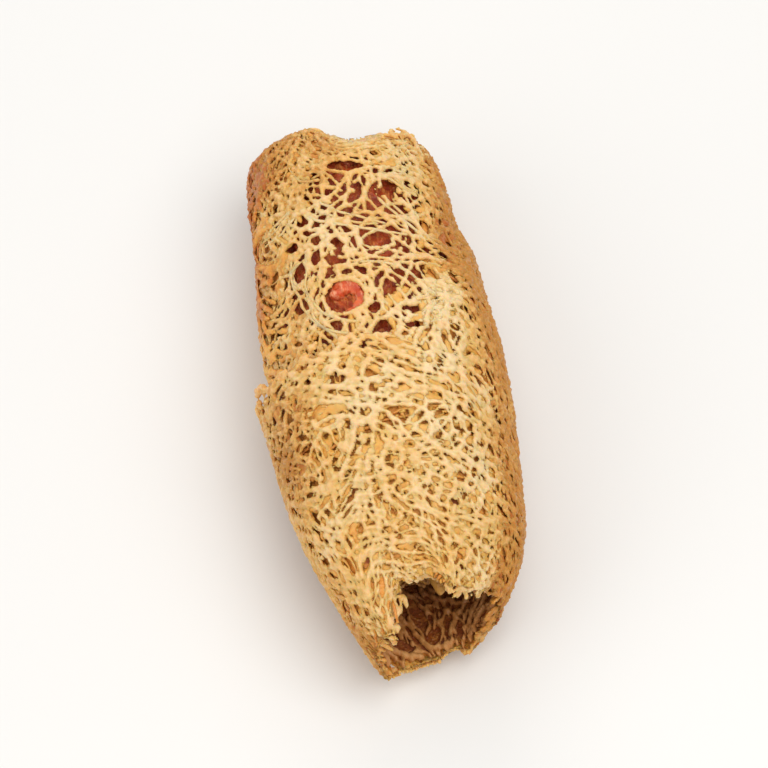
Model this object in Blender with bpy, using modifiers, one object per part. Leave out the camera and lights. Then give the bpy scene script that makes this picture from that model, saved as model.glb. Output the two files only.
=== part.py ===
"""Net spring roll: a lacy rice-batter sheet rolled round a filling and fried.

The roll lies along Y, its open mouth at -Y and its folded end at +Y. The flat it rests on is
at z = 0, under the middle of its bounding box. Lengths are in metres.

Places on the roll are given as (radius, angle, along). The radius is measured from the roll's
own axis, the angle is 0 on top and grows towards +X, and along runs from the folded end, 0, to
the mouth, ROLL_LENGTH.
"""

import math
import random

import bmesh
import bpy
from mathutils import Matrix, Vector, noise

MM = 0.001
WELD = 0.005 * MM

# Driving dimensions
ROLL_LENGTH = 77.3 * MM
AXIS_HEIGHT = 14.8 * MM
FLATTENING = 0.93
AXIS_SAG = 3.4 * MM
AXIS_BEND = 0.8 * MM
FULLEST_AT = 43.0 * MM
HALF_SPAN = 39.0 * MM

# The outer turn of the sheet, which stops short of the folded end
TURN_RISE = 1.4 * MM
TURN_RISE_ON_LEFT = 0.9 * MM
TURN_EDGE_ALONG = 41.0 * MM
TURN_EDGE_RIGHT = 20.0 * MM
TURN_EDGE_SOFT = 4.0 * MM
TURN_EDGE_SHARP = 1.3 * MM
TURN_FADE = (53.0 * MM, 75.0 * MM)

# The free edge of the sheet, a low step along the right underside
LAP_ANGLE = math.radians(128)
LAP_STEP = 0.8 * MM

# Uneven bulges of the soft roll
BULGE_HEIGHT = 0.22 * MM
BULGE_LENGTHS = (6.3 * MM, 4.4 * MM, 9.5 * MM)

# The torn mouth and the uneven rim of the folded end
TEAR_ANGLE = math.radians(-20)
TEAR_DEPTH = 4.4 * MM
TEAR_WIDTH = math.radians(23)
MOUTH_SLANT = 2.5 * MM
MOUTH_SLANT_ANGLE = math.radians(75)
MOUTH_SQUEEZE = 1.6 * MM
MOUTH_RAGGED = 0.45 * MM
MOUTH_REACH = 20.0 * MM
RIM_DIP_ANGLE = math.radians(12)
RIM_DIP = 2.4 * MM
RIM_DIP_WIDTH = math.radians(20)
RIM_REACH = 8.0 * MM

# Turned outlines, as (radius, along) in millimetres
OUTER_OUTLINE = (
    (0.0, 1.4), (4.4, 0.9), (8.6, 0.3), (11.2, 1.0), (12.6, 3.8), (13.3, 9.0),
    (13.6, 15.2), (13.9, 22.2), (14.3, 29.2), (14.8, 38.0), (14.6, 47.5),
    (13.8, 57.0), (13.5, 64.8), (12.8, 70.4), (11.6, 74.6), (10.1, 76.8), (9.2, 77.3),
)
INNER_OUTLINE = (
    (8.7, 76.4), (9.9, 74.0), (11.1, 69.6), (11.8, 65.0), (12.1, 58.5), (12.5, 49.0),
    (12.6, 39.0), (12.2, 30.2), (11.9, 22.2), (11.5, 15.2), (9.9, 10.8), (5.8, 9.2), (0.0, 9.0),
)
FILLING_OUTLINE = (
    (0.0, 9.9), (5.0, 10.2), (9.0, 12.0), (10.7, 16.0), (11.2, 22.7), (11.5, 30.2),
    (11.9, 39.0), (11.8, 49.0), (11.2, 57.0), (8.6, 61.8), (4.8, 63.8), (0.0, 64.4),
)
TURN_STEPS = 36
FILLING_STEPS = 30
FILLING_LUMP = 0.5 * MM
FILLING_LUMP_SIZE = 3.6 * MM

# Folds of the sheet's tucked-in ends
FOLD_THICKNESS = 1.4 * MM
MOUTH_FOLD_ALONG = (65.4 * MM, 70.4 * MM)
MOUTH_FOLD_RADII = (11.4 * MM, 3.6 * MM)
MOUTH_FOLD_ANGLES = (math.radians(100), math.radians(-270))
GROOVE_ALONG = (-4.0 * MM, 4.8 * MM)
GROOVE_RADII = (9.3 * MM, 2.2 * MM)
GROOVE_ANGLES = (math.radians(-60), math.radians(560))
GROOVE_WIDTH = 1.3 * MM
FOLD_STEP = math.radians(20)

# Where the net has loosened and the filling shows through
WINDOW_COUNT = 22
WINDOW_PATCH_ALONG = 24.5 * MM
WINDOW_PATCH_ANGLE = math.radians(4)
WINDOW_PATCH_SPAN = (14.5 * MM, math.radians(62))
WINDOW_SIZE = (1.1 * MM, 2.2 * MM)
WINDOW_SIDES = 6
WINDOW_DEPTH = 7.0 * MM
GOLDEN_ANGLE = math.pi * (3 - math.sqrt(5))

# Threads of the net that stand proud
THREAD_SEED = 5
THREAD_COUNT = 24
THREAD_RADIUS = (0.42 * MM, 0.58 * MM)
THREAD_REACH = (34.0 * MM, 54.0 * MM)
THREAD_BEND = (13.0 * MM, 34.0 * MM)
THREAD_STEP = 5.2 * MM
THREAD_RANGE = (4.0 * MM, 73.0 * MM)
BRIDGE_COUNT = 10
BRIDGE_REACH = (16.0 * MM, 26.0 * MM)

WRAPPER_COLOUR = (0.72, 0.44, 0.17, 1.0)
FILLING_COLOUR = (0.25, 0.075, 0.03, 1.0)


def smoothstep(low, high, value):
    """0 below low, 1 above high, and an even curve between them."""
    share = min(1.0, max(0.0, (value - low) / (high - low)))
    return share * share * (3 - 2 * share)


def outer_radius(along):
    """Radius of the turned outer form at a place along the axis."""
    outline = [(y * MM, r * MM) for r, y in OUTER_OUTLINE[3:-1]]
    for (y0, r0), (y1, r1) in zip(outline, outline[1:]):
        if along <= y1:
            share = max(0.0, (along - y0) / (y1 - y0))
            return r0 + (r1 - r0) * share
    return outline[-1][1]


def angle_from(angle, centre):
    """Signed turn from centre to angle, between -pi and pi."""
    return (angle - centre + math.pi) % (2 * math.pi) - math.pi


def bump(angle, centre, width, power=2):
    """A rounded bump of height 1 round the roll, the squarer the higher its even power."""
    return math.exp(-((angle_from(angle, centre) / width) ** power))


def outer_turn(angle, along):
    """Height of the sheet's last turn, whose edge is crisp on the left flank."""
    left = (0.5 - 0.5 * math.sin(angle)) ** 2
    right = max(0.0, math.sin(angle)) ** 2
    edge = TURN_EDGE_ALONG - TURN_EDGE_RIGHT * right
    half = TURN_EDGE_SOFT + (TURN_EDGE_SHARP - TURN_EDGE_SOFT) * left
    rise = TURN_RISE + TURN_RISE_ON_LEFT * left
    return rise * smoothstep(edge - half, edge + half, along) * (1 - smoothstep(*TURN_FADE, along))


def lap(angle):
    """Height of the spiral, which drops back at the sheet's free edge."""
    return LAP_STEP * ((angle - LAP_ANGLE) % (2 * math.pi)) / (2 * math.pi)


def bulge(angle, along):
    """Slow unevenness of the roll's surface."""
    long, short, longest = (along / length for length in BULGE_LENGTHS)
    waves = math.sin(2 * angle + long) + math.sin(3 * angle - short + 1) + math.sin(5 * angle + longest)
    return BULGE_HEIGHT * waves


def mouth_shift(angle):
    """How far the lip is torn back towards the folded end."""
    ragged = math.sin(4 * angle + 1.0) + 0.8 * math.sin(9 * angle) + 0.6 * math.sin(13 * angle + 2)
    torn = TEAR_DEPTH * bump(angle, TEAR_ANGLE, TEAR_WIDTH, 4) + MOUTH_RAGGED * ragged
    return torn + MOUTH_SLANT * math.cos(angle - MOUTH_SLANT_ANGLE)


def roll_point(radius, angle, along):
    """World place of a point of the turned form, once the roll has bulged, sagged and torn."""
    share = min(1.0, radius / outer_radius(along)) ** 3
    grown = radius + share * (outer_turn(angle, along) + lap(angle) + bulge(angle, along))
    near = max(0.0, (along - (ROLL_LENGTH - MOUTH_REACH)) / MOUTH_REACH) ** 1.5
    grown -= near * share * MOUTH_SQUEEZE * math.sin(angle) ** 2
    far = max(0.0, 1 - along / RIM_REACH) * share
    placed = along - near * mouth_shift(angle) + far * RIM_DIP * bump(angle, RIM_DIP_ANGLE, RIM_DIP_WIDTH)
    sag = AXIS_SAG * ((along - FULLEST_AT) / HALF_SPAN) ** 2
    bend = AXIS_BEND * max(0.0, (along - FULLEST_AT) / HALF_SPAN) ** 2
    return Vector((
        grown * math.sin(angle) + bend,
        ROLL_LENGTH / 2 - placed,
        AXIS_HEIGHT - sag + grown * math.cos(angle) * FLATTENING,
    ))


def smooth_outline(points, parts):
    """The outline's points in metres, with parts - 1 more between each two, on a Catmull-Rom curve."""
    ends = [points[0], *points, points[-1]]
    curve = []
    for a, b, c, d in zip(ends, ends[1:], ends[2:], ends[3:]):
        for step in range(parts):
            t = step / parts
            curve.append(tuple(
                0.5 * MM * (2 * q + (r - p) * t + (2 * p - 5 * q + 4 * r - s) * t**2 + (3 * q - p - 3 * r + s) * t**3)
                for p, q, r, s in zip(a, b, c, d)
            ))
    return [*curve, tuple(value * MM for value in points[-1])]


def material(name, colour, roughness):
    """A plain Principled material."""
    made = bpy.data.materials.new(name)
    made.use_nodes = True
    shader = made.node_tree.nodes["Principled BSDF"]
    shader.inputs["Base Color"].default_value = colour
    shader.inputs["Roughness"].default_value = roughness
    return made


def apply_modifiers(obj):
    """Turns the object's modifiers into its mesh."""
    graph = bpy.context.evaluated_depsgraph_get()
    mesh = bpy.data.meshes.new_from_object(obj.evaluated_get(graph))
    obj.modifiers.clear()
    old = obj.data
    obj.data = mesh
    bpy.data.meshes.remove(old)


def face_outwards(work):
    """Welds a closed bmesh and points its faces outwards."""
    bmesh.ops.remove_doubles(work, verts=work.verts, dist=WELD)
    work.normal_update()
    bmesh.ops.recalc_face_normals(work, faces=work.faces)
    if work.calc_volume(signed=True) < 0:
        bmesh.ops.reverse_faces(work, faces=work.faces)


def turned(name, outline, steps, collection):
    """A turned solid about the Y axis, still in its round form: x, z across and y along."""
    mesh = bpy.data.meshes.new(name)
    edges = [(i, i + 1) for i in range(len(outline) - 1)]
    mesh.from_pydata([(radius, along, 0) for radius, along in outline], edges, [])
    obj = bpy.data.objects.new(name, mesh)
    collection.objects.link(obj)
    screw = obj.modifiers.new("turn", "SCREW")
    screw.axis = "Y"
    screw.steps = screw.render_steps = steps
    screw.use_merge_vertices = True
    screw.merge_threshold = WELD
    bpy.context.view_layer.update()
    apply_modifiers(obj)
    return obj


def rolled_form(obj, dent=None):
    """Moves a turned solid's vertices to the shape of the real roll."""
    work = bmesh.new()
    work.from_mesh(obj.data)
    for vertex in work.verts:
        x, along, z = vertex.co
        radius, angle = math.hypot(x, z), math.atan2(x, z)
        if dent:
            radius -= dent(vertex.co) * min(1.0, radius / (4 * MM))
        vertex.co = roll_point(radius, angle, along)
    face_outwards(work)
    work.to_mesh(obj.data)
    work.free()


def coiled_band(name, radii, angles, along, width, collection):
    """A band of sheet on edge, coiled from one radius to the other, standing along the roll."""
    turns = math.ceil(abs(angles[1] - angles[0]) / FOLD_STEP)
    rows = 3
    places = []
    for i in range(turns + 1):
        share = i / turns
        angle = angles[0] + (angles[1] - angles[0]) * share
        radius = radii[0] + (radii[1] - radii[0]) * share
        for row in range(rows):
            depth = along[0] + (along[1] - along[0]) * row / (rows - 1)
            places.append(roll_point(radius, angle, depth))
    faces = [
        (i * rows + row, i * rows + row + 1, (i + 1) * rows + row + 1, (i + 1) * rows + row)
        for i in range(turns) for row in range(rows - 1)
    ]
    mesh = bpy.data.meshes.new(name)
    mesh.from_pydata(places, [], faces)
    obj = bpy.data.objects.new(name, mesh)
    collection.objects.link(obj)
    wall = obj.modifiers.new("thickness", "SOLIDIFY")
    wall.thickness = width
    wall.offset = 0
    bpy.context.view_layer.update()
    apply_modifiers(obj)
    work = bmesh.new()
    work.from_mesh(obj.data)
    face_outwards(work)
    work.to_mesh(obj.data)
    work.free()
    return obj


def window_cutter(number, collection):
    """A prism through the wall, one of a spiral pattern spread evenly over the loosened patch."""
    chance = random.Random(number)
    spread = math.sqrt((number + 0.5) / WINDOW_COUNT)
    turn = number * GOLDEN_ANGLE
    along = WINDOW_PATCH_ALONG + WINDOW_PATCH_SPAN[0] * spread * math.cos(turn)
    angle = WINDOW_PATCH_ANGLE + WINDOW_PATCH_SPAN[1] * spread * math.sin(turn)
    size = WINDOW_SIZE[1] + (WINDOW_SIZE[0] - WINDOW_SIZE[1]) * spread
    mesh = bpy.data.meshes.new(f"window_{number}")
    work = bmesh.new()
    bmesh.ops.create_cone(
        work, cap_ends=True, segments=WINDOW_SIDES, radius1=size, radius2=size, depth=WINDOW_DEPTH
    )
    stretch = Matrix.Diagonal((chance.uniform(0.8, 1.5), chance.uniform(0.7, 1.1), 1, 1))
    bmesh.ops.transform(work, matrix=stretch, verts=work.verts)
    work.to_mesh(mesh)
    work.free()
    obj = bpy.data.objects.new(mesh.name, mesh)
    collection.objects.link(obj)
    outward = roll_point(outer_radius(along), angle, along) - roll_point(0.0, angle, along)
    obj.location = roll_point(outer_radius(along) - 0.6 * MM, angle, along)
    obj.rotation_mode = "QUATERNION"
    obj.rotation_quaternion = outward.to_track_quat("Z", "Y")
    obj.hide_render = True
    obj.display_type = "WIRE"
    return obj


def thread(name, along, angle, heading, reach, bend, radius, collection):
    """One batter thread that lies on the roll in an arc: a round-ended tube, half sunk in the sheet."""
    count = max(3, round(reach / THREAD_STEP))
    places = []
    along -= math.cos(heading) * reach / 2
    angle -= math.sin(heading) * reach / 2 / outer_radius(along)
    heading -= reach / 2 / bend
    for _ in range(count + 1):
        if THREAD_RANGE[0] < along < THREAD_RANGE[1]:
            places.append(roll_point(outer_radius(along) + 0.1 * radius, angle, along))
        along += math.cos(heading) * THREAD_STEP
        angle += math.sin(heading) * THREAD_STEP / outer_radius(along)
        heading += THREAD_STEP / bend
    if len(places) < 3:
        return
    curve = bpy.data.curves.new(name, "CURVE")
    curve.dimensions = "3D"
    curve.bevel_depth = radius
    curve.bevel_resolution = 0
    curve.use_fill_caps = True
    spline = curve.splines.new("POLY")
    spline.points.add(len(places) - 1)
    for point, place in zip(spline.points, places):
        point.co = (*place, 1)
    tube = bpy.data.objects.new(name, curve)
    collection.objects.link(tube)
    bpy.context.view_layer.update()
    mesh = bpy.data.meshes.new_from_object(tube.evaluated_get(bpy.context.evaluated_depsgraph_get()))
    work = bmesh.new()
    work.from_mesh(mesh)
    face_outwards(work)
    work.to_mesh(mesh)
    work.free()
    bpy.data.objects.remove(tube)
    collection.objects.link(bpy.data.objects.new(name, mesh))


def lay_threads(collection):
    """Threads spread evenly over the whole roll, and shorter ones that bridge the windows."""
    chance = random.Random(THREAD_SEED)
    span = THREAD_RANGE[1] - THREAD_RANGE[0]
    for number in range(THREAD_COUNT):
        thread(
            f"thread_{number}",
            THREAD_RANGE[0] + span * ((number + 0.5) / THREAD_COUNT),
            number * GOLDEN_ANGLE,
            chance.uniform(0, 2 * math.pi),
            chance.uniform(*THREAD_REACH),
            chance.uniform(*THREAD_BEND) * chance.choice((-1, 1)),
            chance.uniform(*THREAD_RADIUS),
            collection,
        )
    for number in range(BRIDGE_COUNT):
        spread = math.sqrt((number + 0.5) / BRIDGE_COUNT)
        turn = number * GOLDEN_ANGLE + 1
        thread(
            f"bridge_{number}",
            WINDOW_PATCH_ALONG + WINDOW_PATCH_SPAN[0] * spread * math.cos(turn),
            WINDOW_PATCH_ANGLE + WINDOW_PATCH_SPAN[1] * spread * math.sin(turn),
            chance.uniform(0, 2 * math.pi),
            chance.uniform(*BRIDGE_REACH),
            chance.uniform(*THREAD_BEND) * chance.choice((-1, 1)),
            THREAD_RADIUS[0],
            collection,
        )


def boolean(obj, operation, operand, solver="EXACT"):
    """Joins or cuts obj with an object or a whole collection, and applies the result."""
    modifier = obj.modifiers.new(operation.lower(), "BOOLEAN")
    modifier.operation = operation
    modifier.solver = solver
    if isinstance(operand, bpy.types.Collection):
        modifier.operand_type = "COLLECTION"
        modifier.collection = operand
    else:
        modifier.object = operand
    bpy.context.view_layer.update()
    apply_modifiers(obj)


def keep_main_body(obj):
    """Drops loose scraps and the walls of sealed hollows, which fills them."""
    work = bmesh.new()
    work.from_mesh(obj.data)
    bodies = []
    left = set(work.verts)
    while left:
        body, edge = set(), [left.pop()]
        while edge:
            vertex = edge.pop()
            body.add(vertex)
            for link in vertex.link_edges:
                other = link.other_vert(vertex)
                if other in left:
                    left.remove(other)
                    edge.append(other)
        bodies.append(body)
    bodies.sort(key=len)
    loose = [vertex for body in bodies[:-1] for vertex in body]
    bmesh.ops.delete(work, geom=loose, context="VERTS")
    work.to_mesh(obj.data)
    work.free()


def clear(collection):
    """Removes a helper collection's objects once they are joined or cut."""
    for obj in list(collection.objects):
        bpy.data.objects.remove(obj)


def floor_block(collection):
    """The block below z = 0 that leaves the flat the roll rests on."""
    work = bmesh.new()
    bmesh.ops.create_cube(work, size=1)
    size = Matrix.Diagonal((2 * ROLL_LENGTH, 2 * ROLL_LENGTH, ROLL_LENGTH, 1))
    bmesh.ops.transform(work, matrix=Matrix.Translation((0, 0, -ROLL_LENGTH / 2)) @ size, verts=work.verts)
    mesh = bpy.data.meshes.new("floor_block")
    work.to_mesh(mesh)
    work.free()
    block = bpy.data.objects.new("floor_block", mesh)
    collection.objects.link(block)
    return block


def build_wrapper(roll, helpers):
    """The rolled net: a shell with a torn mouth, coiled end folds, windows and proud threads."""
    outline = smooth_outline(OUTER_OUTLINE, 2) + smooth_outline(INNER_OUTLINE, 1)
    wrapper = turned("net_wrapper", outline, TURN_STEPS, roll)
    rolled_form(wrapper)
    groove = coiled_band("groove", GROOVE_RADII, GROOVE_ANGLES, GROOVE_ALONG, GROOVE_WIDTH, helpers)
    boolean(wrapper, "DIFFERENCE", groove)
    clear(helpers)
    for number in range(WINDOW_COUNT):
        window_cutter(number, helpers)
    boolean(wrapper, "DIFFERENCE", helpers)
    clear(helpers)
    coiled_band("fold", MOUTH_FOLD_RADII, MOUTH_FOLD_ANGLES, MOUTH_FOLD_ALONG, FOLD_THICKNESS, helpers)
    lay_threads(helpers)
    boolean(wrapper, "UNION", helpers, "MANIFOLD")
    clear(helpers)
    boolean(wrapper, "DIFFERENCE", floor_block(helpers))
    clear(helpers)
    keep_main_body(wrapper)
    wrapper.data.materials.clear()
    wrapper.data.materials.append(material("fried_net", WRAPPER_COLOUR, 0.5))
    return wrapper


def build_filling(roll):
    """The filling: a lumpy log that runs through the roll inside the net."""
    filling = turned("filling", smooth_outline(FILLING_OUTLINE, 2), FILLING_STEPS, roll)
    rolled_form(filling, lambda place: FILLING_LUMP * (0.5 + 0.5 * noise.noise(place / FILLING_LUMP_SIZE)))
    filling.data.materials.append(material("minced_filling", FILLING_COLOUR, 0.6))
    return filling


def centre(objects):
    """Moves the meshes sideways together, so that their bounding box is centred on the origin."""
    places = [vertex.co for obj in objects for vertex in obj.data.vertices]
    low_x, high_x = min(place.x for place in places), max(place.x for place in places)
    low_y, high_y = min(place.y for place in places), max(place.y for place in places)
    for obj in objects:
        obj.data.transform(Matrix.Translation((-(low_x + high_x) / 2, -(low_y + high_y) / 2, 0)))


def main():
    """Clears the scene and builds the roll."""
    for obj in list(bpy.data.objects):
        bpy.data.objects.remove(obj)
    roll = bpy.data.collections.new("net_spring_roll")
    helpers = bpy.data.collections.new("cutters_and_joints")
    helpers.hide_render = True
    for collection in (roll, helpers):
        bpy.context.scene.collection.children.link(collection)
    wrapper = build_wrapper(roll, helpers)
    filling = build_filling(roll)
    centre((wrapper, filling))
    for obj in (wrapper, filling):
        obj.data.shade_smooth()
        obj.data.set_sharp_from_angle(angle=math.radians(40))


main()
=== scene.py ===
"""Visual model of a net spring roll: a lacy rice-batter sheet rolled round a filling and fried.

The roll lies along Y, its torn mouth at -Y and its folded end at +Y. Sizes in the classes are in
millimetres and become metres when a mesh is made. Places on the roll are given as on the solids:
radius from the roll's own axis, angle from the top towards +X, and along from the folded end.
"""

from __future__ import annotations

import logging
import math
from dataclasses import dataclass, field
from enum import Enum
from typing import Callable

import bpy
import numpy as np
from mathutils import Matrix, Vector

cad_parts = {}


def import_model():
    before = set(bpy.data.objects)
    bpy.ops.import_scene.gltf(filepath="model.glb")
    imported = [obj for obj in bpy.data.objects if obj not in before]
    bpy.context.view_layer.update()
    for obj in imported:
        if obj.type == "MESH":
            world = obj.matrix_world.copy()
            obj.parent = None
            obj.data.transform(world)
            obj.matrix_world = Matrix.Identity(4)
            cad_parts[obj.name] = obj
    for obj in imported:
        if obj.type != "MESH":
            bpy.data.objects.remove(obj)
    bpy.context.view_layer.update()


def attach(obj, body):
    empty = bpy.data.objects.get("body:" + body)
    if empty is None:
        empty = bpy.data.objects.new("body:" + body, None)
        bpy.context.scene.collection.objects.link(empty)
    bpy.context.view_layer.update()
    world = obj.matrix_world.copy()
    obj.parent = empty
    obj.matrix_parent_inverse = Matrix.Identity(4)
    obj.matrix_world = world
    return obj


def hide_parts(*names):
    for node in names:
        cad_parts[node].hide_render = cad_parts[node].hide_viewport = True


LOG = logging.getLogger("net_spring_roll")
MM = 0.001
TURN = 2 * math.pi
# Steps that fill a square evenly: the inverse of the number whose cube is itself plus 1, and its square.
EVEN_STEPS = (0.7548777, 0.5698403)
# Distance between the points of a strand that is fused into a web, in millimetres.
FINE_STEP = 0.25
# Share of strands kept on the net, above 1 so that none thins at its end, and beside the sheet.
KEPT, DROPPED = 1.2, -1.0
BUMP_STRENGTH = 0.8
WHITE = (1.0, 1.0, 1.0, 1.0)
Array = np.ndarray
Mapping = Callable[[Array, Array], Array]
Pair = tuple[float, float]
Triple = tuple[float, float, float]
Colour = tuple[float, float, float]
Piece = bpy.types.Object
Tree = bpy.types.NodeTree
Node = bpy.types.Node
Output = bpy.types.NodeSocket
Material = bpy.types.Material


def smoothstep(low: Array | float, high: Array | float, value: Array) -> Array:
    """An even curve from 0 at low to 1 at high.

    Args:
        low: Where the curve leaves 0.
        high: Where the curve reaches 1.
        value: The places asked for.

    Returns:
        3 t squared less 2 t cubed, where t is the clipped share of the way from low to high.
    """
    share = np.clip((value - low) / (high - low), 0.0, 1.0)
    return share * share * (3 - 2 * share)


def rising(rise: Triple, value: Array) -> Array:
    """A smooth rise: it starts at the first number, ends at the second and is as high as the third."""
    return smoothstep(*rise[:2], value) * rise[2]


def between(ends: Pair, share: Array) -> Array:
    """The value that lies a share of the way from the first end to the second."""
    return ends[0] + (ends[1] - ends[0]) * share


def angle_from(angle: Array, centre: float) -> Array:
    """Signed turn from centre to angle, between minus pi and pi."""
    return (angle - centre + math.pi) % TURN - math.pi


def bump(angle: Array, centre: float, width: float, power: int = 2) -> Array:
    """A rounded bump of height 1 round the roll: e to minus the scaled turn to an even power."""
    return np.exp(-((angle_from(angle, centre) / width) ** power))


def unit(vectors: Array) -> Array:
    """The vectors divided by their lengths."""
    return vectors / np.maximum(np.linalg.norm(vectors, axis=-1, keepdims=True), 1e-9)


def way_along(curve: Array) -> Array:
    """How far each point of a curve lies from its start, along its straight runs."""
    return np.concatenate([[0.0], np.cumsum(np.linalg.norm(np.diff(curve, axis=0), axis=1))])


def smooth_curve(points: tuple[Pair, ...], parts: int) -> Array:
    """A Catmull-Rom curve through the points.

    Args:
        points: The points that the curve passes, in order.
        parts: Steps of the curve between each two points.

    Returns:
        The curve's points, one row each. Between b and c it is the cubic whose slopes at its ends
        are half of c less a and half of d less b.
    """
    knots = np.array([points[0], *points, points[-1]], dtype=float)
    a, b, c, d = (knots[i : len(knots) - 3 + i, None, :] for i in range(4))
    t = (np.arange(parts) / parts)[None, :, None]
    cubic = 2 * b + (c - a) * t + (2 * a - 5 * b + 4 * c - d) * t**2 + (3 * b - a - 3 * c + d) * t**3
    return np.vstack([(0.5 * cubic).reshape(-1, knots.shape[1]), knots[-1]])


@dataclass(frozen=True)
class Waves:
    """Smooth noise over a flat sheet: equal waves in random directions, added up."""

    length: float
    seed: int
    count: int = 26
    spread: float = 0.35

    def _waves(self) -> tuple[Array, Array, Array]:
        """Wave numbers along both sides of the sheet, and phases."""
        chance = np.random.default_rng(self.seed)
        heading = chance.uniform(0, TURN, self.count)
        size = TURN / self.length * (1 + self.spread * chance.uniform(-1, 1, self.count))
        return size * np.cos(heading), size * np.sin(heading), chance.uniform(0, TURN, self.count)

    def height(self, u: Array, v: Array) -> Array:
        """The noise at places on the sheet.

        Args:
            u: Places along one side of the sheet.
            v: Places along the other side.

        Returns:
            The sum of the waves' sines over the root of half their count, about -2 to 2.
        """
        across, along, phase = self._waves()
        turn = u[..., None] * across + v[..., None] * along + phase
        return np.sin(turn).sum(axis=-1) / math.sqrt(self.count / 2)

    def slope(self, u: Array, v: Array) -> tuple[Array, Array]:
        """How steeply the noise rises.

        Args:
            u: Places along one side of the sheet.
            v: Places along the other side.

        Returns:
            Its slopes along both sides, for waves of length TURN.
        """
        across, along, phase = self._waves()
        turn = np.cos(u[..., None] * across + v[..., None] * along + phase)
        scale = self.length / TURN / math.sqrt(self.count / 2)
        return (turn * across).sum(axis=-1) * scale, (turn * along).sum(axis=-1) * scale


def added_waves(waves: tuple[Triple, ...], u: Array, v: Array) -> Array:
    """Noises of a length, a seed and a height at places on a sheet, added up."""
    return sum(Waves(length, seed).height(u, v) * height for length, seed, height in waves)


class Turn(Enum):
    """Which turn of the rolled sheet a place lies on, where the last turn ends at a free edge."""

    WHOLE = 0
    LAST = 1
    INNER = -1


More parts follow.
